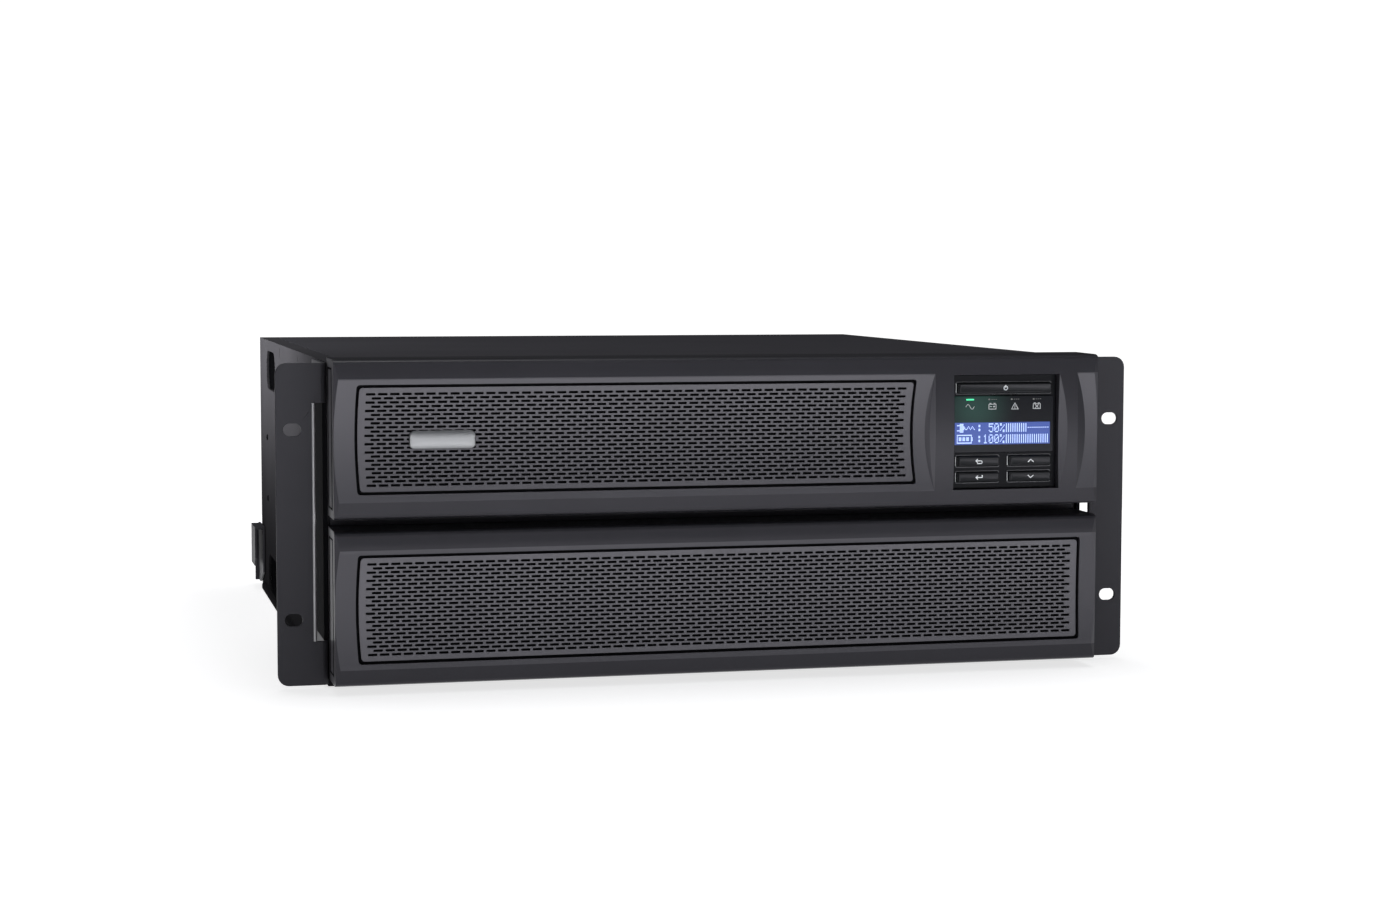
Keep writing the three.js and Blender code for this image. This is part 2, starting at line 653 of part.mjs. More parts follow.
// Rear panel with a cut-out around each piece that passes through it, and two fields of vent slots.
function rearPanel() {
  const plate = box([-CHASSIS_HALF, CHASSIS_HALF], [REAR_Y - SHEET, REAR_Y], [0, CHASSIS_TOP]);
  const through = [REAR_Y - 2 * SHEET, REAR_Y + SHEET];
  const window = ({ x, z }, halfX, halfZ) =>
    box([x - halfX - GAP, x + halfX + GAP], through, [z - halfZ - GAP, z + halfZ + GAP]);
  const bankWindow = (bank) => window(bank, (bank.columns * bank.pitchX) / 2, (bank.rows * bank.pitchZ) / 2);
  const hole = (x, z, radius) => moved(alongY(circle(radius), through), x, 0, z);
  const cutters = [
    bankWindow(REAR.bankRow), bankWindow(REAR.bankSquare),
    window(REAR.largeOutlet, 19, 15), window(REAR.inlet, 19, 15), window(REAR.pack, 24, 14),
    window(REAR.usb, PORT.usb[0] + 1.6, PORT.usb[1] + 1.6),
    window(REAR.serial, PORT.serial[0] + 1.6, PORT.serial[1] + 1.6),
    hole(REAR.breaker.x, REAR.breaker.z, 6.9),
    hole(REAR.card.x - 49, REAR.card.z, 2), hole(REAR.card.x + 49, REAR.card.z, 2),
    ...FAN.x.map((x) => hole(x, FAN.z, FAN.bore)),
  ];
  for (let index = 0; index < 14; index += 1) {
    const x = -190 + index * 9;
    cutters.push(box([x - 1.5, x + 1.5], through, [20, 74]));
  }
  return cut(plate, cutters);
}

// ---------------------------------------------------------------- assembly
const chassis = group();
add(chassis, "base_pan", basePan(), M.chassis);
add(chassis, "left_side_panel", mirrored(sidePanel()), M.chassis);
add(chassis, "right_side_panel", sidePanel(), M.chassis);
add(chassis, "top_cover", topCover(), M.chassis);
add(chassis, "mid_shelf", midShelf(), M.tray);
add(chassis, "front_frame", frontFrame(), M.chassis);
add(chassis, "battery_divider", batteryDivider(), M.tray);
add(chassis, "rear_panel", rearPanel(), M.chassis);
add(chassis, "left_rack_ear", mirrored(rackEar()), M.chassis);
add(chassis, "right_rack_ear", rackEar(), M.chassis);
add(chassis, "left_rear_hook", mirrored(rearHook()), M.chassis);
add(chassis, "right_rear_hook", rearHook(), M.chassis);
add(chassis, "display_cradle", displayCradle(), M.blackPlastic);

const upperFront = group();
add(upperFront, "upper_bezel", upperBezel(), M.bezel);
add(upperFront, "upper_grille", grille(UPPER, 5), M.grille);
add(upperFront, "badge", badge(), M.badge, [BADGE.x, 0, BADGE.z]);

const lowerFront = group();
add(lowerFront, "lower_bezel", bezelShell(LOWER), M.bezel);
add(lowerFront, "lower_grille", grille(LOWER, 6), M.grille);

const display = group();
add(display, "display_housing", displayHousing(), M.blackPlastic);
add(display, "display_window", displayWindow(), M.window);
add(display, "lcd_module", lcdModule(), M.lcd);
add(display, "display_board", displayBoard(), M.board);
add(display, "light_pipes", lightPipes(), M.lightPipe);
BUTTONS.forEach((item) => add(display, item.name, button(item), M.button));

for (const side of ["left", "right"]) {
  const place = side === "left" ? mirrored : (solid) => solid;
  const battery = group();
  add(battery, `${side}_battery_tray`, place(batteryTray()), M.tray);
  add(battery, `${side}_battery_front`, place(batteryBlock(16, 196)), M.battery);
  add(battery, `${side}_battery_rear`, place(batteryBlock(202, 382)), M.battery);
  add(battery, `${side}_battery_handle`, place(batteryHandle()), M.blackPlastic);
}

const electronics = group(0, 0, BOARD_TOP);
add(electronics, "main_circuit_board", circuitBoard(), M.board, [0, 0, -BOARD_TOP]);
add(electronics, "left_heatsink", heatsink(), M.aluminium, [-150, 250, 0]);
add(electronics, "right_heatsink", heatsink(), M.aluminium, [-60, 250, 0]);
add(electronics, "left_capacitor", capacitor(), M.capacitor, [30, 200, 0]);
add(electronics, "right_capacitor", capacitor(), M.capacitor, [75, 200, 0]);
add(electronics, "choke", choke(), M.copper, [-60, 120, 10]);
add(electronics, "transformer", transformer(), M.copper, [164, 200, SHELF_Z + SHEET + GAP - BOARD_TOP]);

FAN.x.forEach((x, index) => {
  const side = index === 0 ? "left" : "right";
  const fan = group(x, REAR_Y - SHEET - GAP - FAN.depth, FAN.z);
  add(fan, `${side}_fan_frame`, fanFrame(), M.blackPlastic);
  add(fan, `${side}_fan_rotor`, fanRotor(), M.blackPlastic);
  add(fan, `${side}_fan_guard`, fanGuard(), M.aluminium, [0, FAN.depth + SHEET + 2 * GAP, 0]);
});

const rear = group(0, REAR_Y, 0);
for (const [name, bank] of [["outlet_row", REAR.bankRow], ["outlet_square", REAR.bankSquare]]) {
  const solid = outletBank(bank.columns, bank.rows, bank.pitchX, bank.pitchZ);
  add(rear, name, solid, M.blackPlastic, [bank.x, 0, bank.z]);
}
for (const [name, solid, place, material] of [
  ["large_outlet", largeOutlet(), REAR.largeOutlet, M.blackPlastic],
  ["power_inlet", powerInlet(), REAR.inlet, M.blackPlastic],
  ["breaker_body", breakerBody(), REAR.breaker, M.blackPlastic],
  ["breaker_button", breakerButton(), REAR.breaker, M.button],
  ["card_slot_cover", cardCover(), REAR.card, M.chassis],
  ["usb_port", portShell(PORT.usb), REAR.usb, M.contact],
  ["serial_port", portShell(PORT.serial), REAR.serial, M.contact],
  ["battery_pack_connector", batteryPackConnector(), REAR.pack, M.blackPlastic],
]) {
  add(rear, name, solid, material, [place.x, 0, place.z]);
}

export default ups;
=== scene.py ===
"""Looks of a four-unit rack uninterruptible power supply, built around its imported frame.

Lengths are written in millimetres and turned into metres by at(); the front faces -Y.
"""

import json
import math

import bmesh
import bpy
from mathutils import Matrix, Vector


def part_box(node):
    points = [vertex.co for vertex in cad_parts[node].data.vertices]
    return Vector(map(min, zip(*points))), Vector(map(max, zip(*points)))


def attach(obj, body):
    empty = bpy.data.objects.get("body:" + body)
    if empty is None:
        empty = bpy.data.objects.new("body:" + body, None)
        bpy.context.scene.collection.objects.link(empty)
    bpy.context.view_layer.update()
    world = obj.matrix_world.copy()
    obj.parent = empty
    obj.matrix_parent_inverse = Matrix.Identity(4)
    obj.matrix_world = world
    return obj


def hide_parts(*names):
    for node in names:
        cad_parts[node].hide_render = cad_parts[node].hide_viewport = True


MM = 0.001
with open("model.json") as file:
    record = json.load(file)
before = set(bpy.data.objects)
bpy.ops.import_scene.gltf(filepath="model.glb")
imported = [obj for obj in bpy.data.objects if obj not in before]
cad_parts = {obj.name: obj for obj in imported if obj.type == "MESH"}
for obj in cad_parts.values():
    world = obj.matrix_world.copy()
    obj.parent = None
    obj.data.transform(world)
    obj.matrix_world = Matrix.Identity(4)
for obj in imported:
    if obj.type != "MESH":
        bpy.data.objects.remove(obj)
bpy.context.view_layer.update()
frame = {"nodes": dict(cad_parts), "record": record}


def box_mm(node):
    """Lowest and highest corner of a CAD node, in millimetres."""
    low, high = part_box(node)
    return low / MM, high / MM


# ---------------- driving dimensions
UPPER_LOW, UPPER_HIGH = box_mm("upper_bezel")
LOWER_LOW, LOWER_HIGH = box_mm("lower_bezel")
HOUSING_LOW, HOUSING_HIGH = box_mm("display_housing")
FRONT = UPPER_LOW.y  # front plane of both bezels
BACK = UPPER_HIGH.y  # back edge of both bezels
HALF = UPPER_HIGH.x  # half width of the bezels
EAR_PLANE = FRONT + 30.0  # front plane of the rack ears

EDGE_LOW = 9.2  # height of the plain strip under the hollowed field
EDGE_HIGH = 10.2  # height of the plain strip above it
PILLOW_DROP = 2.6  # how far a bezel's face falls back towards its top and bottom edges
HOLLOW = 2.8  # how much deeper the field lies at mid height
SIDE_DEPTH = 2.8  # how far behind the front plane the ends begin
FACET_RUN = 2.0  # width of the facets at both ends for each millimetre of depth
FACE_GAP = 0.3  # clearance of the display housing in its opening


# ---------------- mesh helpers
SMOOTH_ANGLE = math.radians(28)


def at(x, y, z):
    return Vector((x, y, z)) * MM


def smooth_by_angle(bm):
    """Smooth shading, with a sharp edge where two faces meet at more than SMOOTH_ANGLE."""
    for face in bm.faces:
        face.smooth = True
    for edge in bm.edges:
        edge.smooth = len(edge.link_faces) == 2 and edge.calc_face_angle(0) < SMOOTH_ANGLE


def add_object(name, data):
    thing = bpy.data.objects.new(name, data)
    bpy.context.scene.collection.objects.link(thing)
    return thing


def add_mesh(name, bm, material):
    """An object with one material from a bmesh, which is freed."""
    mesh = bpy.data.meshes.new(name)
    bm.to_mesh(mesh)
    bm.free()
    mesh.materials.append(material)
    return add_object(name, mesh)


def make_piece(name, bm, material, body, replaces=()):
    """Turns a bmesh into a piece that rides on a body and hides the CAD nodes it replaces."""
    bmesh.ops.recalc_face_normals(bm, faces=bm.faces)
    smooth_by_angle(bm)
    piece = add_mesh(name, bm, material)
    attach(piece, body)
    if replaces:
        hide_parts(*replaces)
    return piece


def add_bevel(piece, width, degrees):
    """Rounds the edges that turn by more than an angle."""
    bevel = piece.modifiers.new("edge_round", "BEVEL")
    bevel.width = width * MM
    bevel.segments = 2
    bevel.limit_method = "ANGLE"
    bevel.angle_limit = math.radians(degrees)
    bevel.use_clamp_overlap = True
    bevel.miter_outer = "MITER_ARC"
    normals = piece.modifiers.new("face_normals", "WEIGHTED_NORMAL")
    normals.keep_sharp = True


def bridge(bm, first, second):
    """Quads between two closed loops of vertices of the same length."""
    for index in range(len(first)):
        after = (index + 1) % len(first)
        bm.faces.new([first[index], first[after], second[after], second[index]])


def loft(bm, loops, closed=False):
    """A surface through loops of the same length; its two ends meet or get a face each."""
    for first, second in zip(loops, loops[1:]):
        bridge(bm, first, second)
    if closed:
        bridge(bm, loops[-1], loops[0])
    else:
        bm.faces.new(loops[0])
        bm.faces.new(loops[-1])


def border(grid):
    """Vertices round the outside of a grid of rows."""
    left = [row[0] for row in grid]
    right = [row[-1] for row in grid]
    return left + grid[-1][1:-1] + right[::-1] + grid[0][1:-1][::-1]


def add_cell(bm, grid, row, column):
    """One quad of a grid of vertices."""
    lower, upper = grid[row], grid[row + 1]
    return bm.faces.new([lower[column], lower[column + 1], upper[column + 1], upper[column]])


def add_slab(bm, front, back):
    """A closed sheet between two grids of vertices."""
    for grid in (front, back):
        for row in range(len(grid) - 1):
            for column in range(len(grid[0]) - 1):
                add_cell(bm, grid, row, column)
    bridge(bm, border(front), border(back))


def loop_at(bm, outline, y):
    """Vertices at a depth from an outline of (x, z) points."""
    return [bm.verts.new(at(x, y, z)) for x, z in outline]


def add_block(bm, low, high):
    """A box between two corners."""
    outline = ((low[0], low[2]), (high[0], low[2]), (high[0], high[2]), (low[0], high[2]))
    add_prism(bm, outline, low[1], high[1])


def add_prism(bm, outline, y_front, y_back):
    """A closed prism along Y from an outline of (x, z) points."""
    loft(bm, [loop_at(bm, outline, y) for y in (y_front, y_back)])


def add_column(bm, outline, z_low, z_high):
    """A closed prism along Z from an outline of (x, y) points."""
    loft(bm, [[bm.verts.new(at(x, y, z)) for x, y in outline] for z in (z_low, z_high)])


def add_plate(bm, outline, holes, y_front, y_back):
    """A flat plate across Y with holes; outline and holes are lists of (x, z) points."""
    edges = []
    for loop in (outline, *holes):
        verts = loop_at(bm, loop, y_front)
        edges += [bm.edges.new((verts[index - 1], verts[index])) for index in range(len(verts))]
    filled = bmesh.ops.triangle_fill(bm, edges=edges, use_beauty=True)
    faces = [item for item in filled["geom"] if isinstance(item, bmesh.types.BMFace)]
    grown = bmesh.ops.extrude_face_region(bm, geom=faces, use_keep_orig=True)
    moved = [item for item in grown["geom"] if isinstance(item, bmesh.types.BMVert)]
    bmesh.ops.translate(bm, verts=moved, vec=(0, (y_back - y_front) * MM, 0))


def arc_points(cx, cz, radius, start, end, steps=16):
    """Points along an arc between two angles in degrees."""
    angles = [math.radians(start + (end - start) * step / steps) for step in range(steps + 1)]
    return [(cx + radius * math.cos(angle), cz + radius * math.sin(angle)) for angle in angles]


def ring_outline(cx, cz, radius, steps):
    return arc_points(cx, cz, radius, 0, 360, steps)[:-1]


def rounded_outline(cx, cz, half_x, half_z, radius, steps):
    """Points round a rectangle with rounded corners."""
    points = []
    for sx, sz, start in ((1, -1, -90), (1, 1, 0), (-1, 1, 90), (-1, -1, 180)):
        x, z = cx + sx * (half_x - radius), cz + sz * (half_z - radius)
        points += arc_points(x, z, radius, start, start + 90, steps)
    return points


def add_rounded(bm, low, high, sections, radius, steps, fall=0.0, closed=False):
    """A rounded rectangle through (inset, y) sections; fall shrinks its corners as the inset grows."""
    loops = []
    middle, half = (high + low) / 2, (high - low) / 2
    for inset, y in sections:
        corner = max(0.4, radius - inset * fall)
        outline = rounded_outline(middle.x, middle.z, half.x - inset, half.z - inset, corner, steps)
        loops.append(loop_at(bm, outline, y))
    loft(bm, loops, closed)


# ---------------- materials
def set_inputs(tree, node, inputs):
    """Gives each input a constant or the output of another node."""
    for key, value in inputs.items():
        if isinstance(value, bpy.types.NodeSocket):
            tree.links.new(value, node.inputs[key])
        else:
            node.inputs[key].default_value = value


def new_material(name, inputs):
    """A material, its tree and its shader, with the shader's constants."""
    material = bpy.data.materials.new(name)
    material.use_nodes = True
    tree = material.node_tree
    shader = tree.nodes["Principled BSDF"]
    set_inputs(tree, shader, inputs)
    return material, tree, shader


def add_node(tree, kind, inputs, **settings):
    """A node with its settings and inputs."""
    node = tree.nodes.new("ShaderNode" + kind)
    for key, value in settings.items():
        setattr(node, key, value)
    set_inputs(tree, node, inputs)
    return node


def object_place(tree):
    return add_node(tree, "TexCoord", {}).outputs["Object"]


def smooth_fade(tree, value, start, end, low, high):
    """Goes smoothly from low to high while the value goes from start to end."""
    inputs = {"Value": value, "From Min": start, "From Max": end, "To Min": low, "To Max": high}
    return add_node(tree, "MapRange", inputs, interpolation_type="SMOOTHSTEP").outputs["Result"]


def mottled_colour(tree, shader, colour, amount, scale):
    """Base colour with a slow, slight change over the surface; returns the place it reads."""
    place = object_place(tree)
    noise = add_node(tree, "TexNoise", {"Vector": place, "Scale": scale, "Detail": 3})
    ramp = add_node(tree, "ValToRGB", {"Fac": noise.outputs["Fac"]})
    for element, position, share in zip(ramp.color_ramp.elements, (0.3, 0.7), (1 - amount, 1 + amount)):
        element.position = position
        element.color = (*[channel * share for channel in colour], 1)
    tree.links.new(ramp.outputs["Color"], shader.inputs["Base Color"])
    return place


def grain_bump(tree, shader, place, scale, detail, strength, depth):
    """Fine moulded, coated or brushed texture; depth is in millimetres."""
    noise = add_node(tree, "TexNoise", {"Vector": place, "Scale": scale, "Detail": detail})
    inputs = {"Strength": strength, "Distance": depth * MM, "Height": noise.outputs["Fac"]}
    tree.links.new(add_node(tree, "Bump", inputs).outputs["Normal"], shader.inputs["Normal"])


SIDE_SHADE = ((0.025, 0.30), (0.155, 0.86))  # painted shade towards the floor: (height in metres, share of the colour)


def shade_down(material):
    """Painted shade: lets a side panel's paint grow darker towards the floor."""
    tree = material.node_tree
    base = tree.nodes["Principled BSDF"].inputs["Base Color"]
    split = add_node(tree, "SeparateXYZ", {0: object_place(tree)})
    (low, dark), (high, light) = SIDE_SHADE
    fade = smooth_fade(tree, split.outputs["Z"], low, high, dark, light)
    inputs = {"Fac": 1, "Color1": base.links[0].from_socket, "Color2": fade}
    shaded = add_node(tree, "MixRGB", inputs, blend_type="MULTIPLY")
    tree.links.new(shaded.outputs["Color"], base)


def painted_lamp_glow(material, centre, reach, colour, strength):
    """Painted light: a soft glow painted on the smoked window round a lamp behind it."""
    tree = material.node_tree
    shader = tree.nodes["Principled BSDF"]
    shader.inputs["Emission Color"].default_value = (*colour, 1)
    distance = add_node(tree, "VectorMath", {0: object_place(tree), 1: centre}, operation="DISTANCE")
    fade = smooth_fade(tree, distance.outputs["Value"], 0, reach, strength, 0)
    tree.links.new(fade, shader.inputs["Emission Strength"])


SHEEN_TINT = (0.93, 0.915, 1.0, 1)  # the faint blue of the plastic's and the paint's sheen
GRAIN_DEPTH = 0.05
BRUSH_STRETCH = (4, 400, 400)  # lines along X
MOULDED = {"grain": 3200, "strength": 0.15}  # fine grain of the bezels' plastic


def coated(name, colour, roughness, metallic=0.0, grain=2600, strength=0.25, amount=0.06, scale=18,
           specular=0.5):
    """Plastic, paint or metal with grain and slight changes of colour."""
    material, tree, shader = new_material(name, {
        "Roughness": roughness, "Metallic": metallic,
        "Specular IOR Level": specular, "Specular Tint": SHEEN_TINT,
    })
    place = mottled_colour(tree, shader, colour, amount, scale)
    if strength:
        grain_bump(tree, shader, place, grain, 4, strength, GRAIN_DEPTH)
    return material


def glowing(name, colour, strength, glow=None, roughness=0.3):
    """Print or a lit face that gives off light in its own colour or another one."""
    return new_material(name, {
        "Base Color": (*colour, 1), "Roughness": roughness,
        "Emission Color": (*(glow or colour), 1), "Emission Strength": strength,
    })[0]


def brushed(name, colour, roughness):
    """Metal with fine lines along X."""
    material, tree, shader = new_material(name, {"Roughness": roughness, "Metallic": 1.0})
    place = mottled_colour(tree, shader, colour, 0.05, 40)
    stretched = add_node(tree, "Mapping", {"Vector": place, "Scale": BRUSH_STRETCH})
    grain_bump(tree, shader, stretched.outputs["Vector"], 6, 2, 0.15, 0.03)
    return material


PAINT = coated("powder_coat", (0.028, 0.0274, 0.032), 0.5, strength=0.3, specular=0.26)
COVER = coated("cover_coat", (0.027, 0.0264, 0.031), 0.68, strength=0.3, specular=0.12)
# The side panel's paint, with painted shade towards the floor.
PANEL_PAINTED_SHADE = coated("panel_coat_painted_shade", (0.043, 0.042, 0.046), 0.8, strength=0.3, specular=0.0)
shade_down(PANEL_PAINTED_SHADE)
BEZEL = coated("bezel_plastic", (0.024, 0.0233, 0.028), 0.3, specular=0.26, **MOULDED)
FIELD = coated("grille_plastic", (0.07, 0.068, 0.077), 0.32, specular=0.42, **MOULDED)
# A lighter copy of the grille plastic for the lower grille: painted light.
FIELD_LOW_LIT = coated("low_grille_plastic_painted_light", (0.108, 0.105, 0.117), 0.32, specular=0.42, **MOULDED)
# A lighter copy of the bezel plastic on the hollowed field and some facets beside the display: painted light.
HOLLOW_LIT_LOOK = coated("hollow_plastic_painted_light", (0.048, 0.047, 0.054), 0.3, specular=0.4, **MOULDED)
# A lighter copy of the bezel plastic on the bezels' end faces: painted light.
END_LIT_LOOK = coated("end_plastic_painted_light", (0.09, 0.088, 0.096), 0.35, specular=0.3, **MOULDED)
MATT_BLACK = coated("matt_black", (0.006, 0.006, 0.007), 0.8, strength=0.1, specular=0.02)
BLACK = coated("black_plastic", (0.012, 0.012, 0.014), 0.42, grain=2200, strength=0.2)
KEY = coated("button_plastic", (0.016, 0.017, 0.0185), 0.25, grain=3000, strength=0.08, specular=0.2)
# Light grey frames round the keys that stand in for highlight lines: painted highlight.
FRAME_LOOK = coated("frame_plastic_painted_highlight", (0.075, 0.077, 0.082), 0.2, strength=0, specular=0.5)
HOUSING = coated("display_plastic", (0.006, 0.0068, 0.008), 0.35, grain=3000, strength=0.1, specular=0.1)
WINDOW = coated("window_plastic", (0.006, 0.007, 0.009), 0.15, strength=0, amount=0.02, specular=0.18)
BOARD = coated("solder_mask", (0.008, 0.055, 0.024), 0.35, strength=0.1, amount=0.2, scale=60)
SLEEVE = coated("capacitor_sleeve", (0.012, 0.02, 0.05), 0.28, strength=0.05)
CELL = coated("battery_case", (0.045, 0.047, 0.05), 0.5, grain=1800)
COPPER = coated("enamelled_copper", (0.4, 0.16, 0.06), 0.3, metallic=0.8, strength=0.1)
# Light metal on the left ear's rolled edge that stands in for its highlight: painted highlight.
EDGE_HIGHLIGHT_METAL = coated("edge_painted_highlight", (0.3, 0.3, 0.31), 0.35, metallic=0.7, strength=0.1)
STEEL = brushed("plated_steel", (0.42, 0.43, 0.45), 0.34)
SILVER = brushed("badge_metal", (0.26, 0.265, 0.275), 0.38)
ALUMINIUM = brushed("extruded_aluminium", (0.6, 0.61, 0.63), 0.36)
# Print that glows a little though it is no lamp: painted light; the CAD light pipes and the glints beside the
# keys take these glowing looks too.
PRINT = glowing("pale_print_painted_glow", (0.66, 0.68, 0.7), 0.3)
PRINT_DIM = glowing("dim_print_painted_glow", (0.56, 0.58, 0.6), 0.22)
LCD_BLUE = glowing("lcd_backlight", (0.015, 0.025, 0.1), 1.0, (0.016, 0.054, 0.29), 0.2)
LCD_PALE = glowing("lcd_pixels", (0.3, 0.36, 0.5), 0.95, (0.38, 0.53, 1.0))
LED_ON = glowing("led_green", (0.02, 0.3, 0.12), 1.3, (0.05, 0.75, 0.32))
# The unlit lamps glow faintly though they are off: painted light.
LED_OFF = glowing("led_unlit_painted_glow", (0.12, 0.12, 0.12), 0.25)


# ---------------- bezels
def bulge(z, z0, z1):
    """1 at mid height and 0 at z0 and z1."""
    share = (z - (z0 + z1) / 2) / ((z1 - z0) / 2)
    return 1 - share * share


class Field:
    """A bezel's scooped front and its grille opening, with bowed ends and rounded corners."""

    CORNER = 1.7
    TURN = (0, 25, 45, 65, 90)  # angles of the points round a corner
    MIDDLE_STEPS = 14

    def __init__(self, low, high, opening_z, x0, x1, bow_left, bow_right):
        self.low, self.high = low, high
        self.edge_z = (low.z + EDGE_LOW, high.z - EDGE_HIGH)
        self.z0, self.z1 = opening_z
        self.x0, self.x1 = x0, x1
        self.bow = (bow_left, bow_right)

    def pillow(self, z):
        """How far the bezel's plain face lies behind the front plane."""
        return PILLOW_DROP * (1 - bulge(z, self.low.z, self.high.z))

    def hollow(self, z):
        """How much deeper the field is than the plain face: nothing at its two edges."""
        return HOLLOW * max(0.0, bulge(z, *self.edge_z))

    def y(self, z):
        return FRONT + self.pillow(z) + self.hollow(z)

    def vert(self, bm, x, z, depth):
        """A vertex at a depth behind the scooped surface."""
        return bm.verts.new(at(x, self.y(z) + depth, z))

    def levels(self, inset=0.0):
        """Heights from bottom to top, close together where the corners are rounded."""
        z0, z1, r = self.z0 + inset, self.z1 - inset, self.CORNER
        turn = [r * (1 - math.cos(math.radians(angle))) for angle in self.TURN]
        low, high = z0 + r, z1 - r
        middles = [low + (high - low) * i / self.MIDDLE_STEPS for i in range(1, self.MIDDLE_STEPS)]
        return [z0 + t for t in turn] + middles + [z1 - t for t in reversed(turn)]

    def side_x(self, z, side, inset=0.0):
        """x of the left (side 0) or right (side 1) end at height z."""
        z0, z1, r = self.z0 + inset, self.z1 - inset, self.CORNER
        bow = self.bow[side] * bulge(z, z0, z1)
        near = min(z - z0, z1 - z)
        cut = r - math.sqrt(max(0.0, r * r - max(0.0, r - near) ** 2))
        if side == 0:
            return self.x0 + inset - bow + cut
        return self.x1 - inset - bow - cut


UPPER_FIELD = Field(UPPER_LOW, UPPER_HIGH, (105.8, 163.6), -201.4, 106.4, 1.3, 1.9)
LOWER_FIELD = Field(LOWER_LOW, LOWER_HIGH, (16.4, 74.2), -201.4, 203.6, 1.3, 0.0)

SURROUND = (116.9, 200.7)  # plain face round the display
LENS_RUN = 2.0  # width of the lens-shaped step beside it for each millimetre of depth
STEP_RUN = 2.0  # the same for the step at its right
OPENING_X = (HOUSING_LOW.x - FACE_GAP, HOUSING_HIGH.x + FACE_GAP)
OPENING_Z = (HOUSING_LOW.z - FACE_GAP, HOUSING_HIGH.z + FACE_GAP)
FINGER_SCOOP = 4.3  # width of the hollow beside the display
FINGER_DEPTH = 3.0


def bezel_levels(field, extra):
    """(z, depth of the plain face) from the bottom edge to the top edge."""
    low, high = field.low.z, field.high.z
    lowest = [(low, BACK - FRONT), (low + 0.15, 6.5), (low + 0.5, 4.4), (low + 1.2, 3.0)]
    highest = [(high - 1.3, 3.1), (high - 0.6, 4.5), (high - 0.2, 6.6), (high, BACK - FRONT)]
    strips = [low + 2.2, low + 5.5, high - 2.5, high - 6.2]
    inner = sorted({*field.edge_z, *field.levels(), *strips, *extra})
    return lowest + [(z, field.pillow(z)) for z in inner] + highest


def bezel_columns(z, flat, field, with_display):
    """(x, y) across the front at one height, from left to right."""
    step = field.hollow(z)
    depth = flat + step
    facet = HALF - FACET_RUN * max(0.0, SIDE_DEPTH - depth) - 0.05
    side = FRONT + max(SIDE_DEPTH, depth + 0.05)
    y = FRONT + depth
    zc = min(max(z, field.z0), field.z1)
    row = [(-HALF, side), (-facet, y), (field.side_x(zc, 0), y), (field.side_x(zc, 1), y)]
    if with_display:
        x0, x1 = SURROUND
        left, right = OPENING_X
        plain = FRONT + flat
        scoop = max(0.0, bulge(z, *OPENING_Z))
        row += [(x0 - LENS_RUN * step, y), (x0 - 0.5 * LENS_RUN * step, plain + 0.7 * step)]
        row += [(x0, plain), (left, plain), (right, plain + FINGER_DEPTH * scoop)]
        row += [(right + FINGER_SCOOP * scoop, plain), (x1, plain), (x1 + STEP_RUN * step, y)]
    return row + [(facet, y), (HALF, side)]


FIELD_COLUMN = 2  # the opening for the grille lies between this column and the next
DISPLAY_COLUMN = 7
PAINTED_SHADE_COLUMNS = (4, 6, 7, 9, 10)  # facets beside the display kept in the darker plastic of the plain strips: painted shade beside the lighter facets
TOUCH = 1e-4  # heights that differ by less are the same
WALL = 2.0  # thickness of a bezel's plastic
LEDGE_DEPTH = 3.2  # from the bezel's surface to the ledge under the grille
LEDGE_WIDTH = 3.4
SLEEVE_BACK = FRONT + 15.5  # back edge of the display opening's wall


def make_bezel(name, field, with_display):
    """A bezel's shell: hollowed front, two end faces and the walls of its openings."""
    bm = bmesh.new()
    openings = {FIELD_COLUMN: (field.z0, field.z1)}
    if with_display:
        openings[DISPLAY_COLUMN] = OPENING_Z
    levels = bezel_levels(field, OPENING_Z if with_display else ())
    grid = []
    for z, flat in levels:
        row = bezel_columns(z, flat, field, with_display)
        grid.append([bm.verts.new(at(x, y, z)) for x, y in row])
    zs = [z for z, _ in levels]

    def inside(index, bounds):
        return bounds[0] - TOUCH <= zs[index] and zs[index + 1] <= bounds[1] + TOUCH

    for i in range(len(levels) - 1):
        for k in range(len(grid[0]) - 1):
            if k in openings and inside(i, openings[k]):
                continue
            face = add_cell(bm, grid, i, k)
            # The hollowed field takes the lighter copy of the plastic, painted light; the plain strips and
            # the listed facets beside the display keep the darker one, painted shade.
            plain = k == 0 or (with_display and k in PAINTED_SHADE_COLUMNS)
            face.material_index = 1 if inside(i, field.edge_z) and not plain else 0
    for column in (0, -1):
        bm.faces.new([row[column] for row in grid]).material_index = 2
    ledge_walls(bm, grid, zs, field)
    if with_display:
        display_sleeve(bm, grid, zs)
    bmesh.ops.remove_doubles(bm, verts=bm.verts, dist=0.002 * MM)
    bezel = make_piece(name + "_shell", bm, BEZEL, name, [name])
    bezel.data.materials.append(HOLLOW_LIT_LOOK)
    bezel.data.materials.append(END_LIT_LOOK)
    thick = bezel.modifiers.new("wall", "SOLIDIFY")
    thick.thickness = WALL * MM
    thick.offset = -1
    add_bevel(bezel, 0.35, 18)


END_RIM = 4.6  # plain rim of a bezel's end
END_LINE = (3.6, 1.1)  # width of the black line inside the rim: upright part, level part
END_REACH = (-0.3, 0.03)  # from inside the end face to just outside it


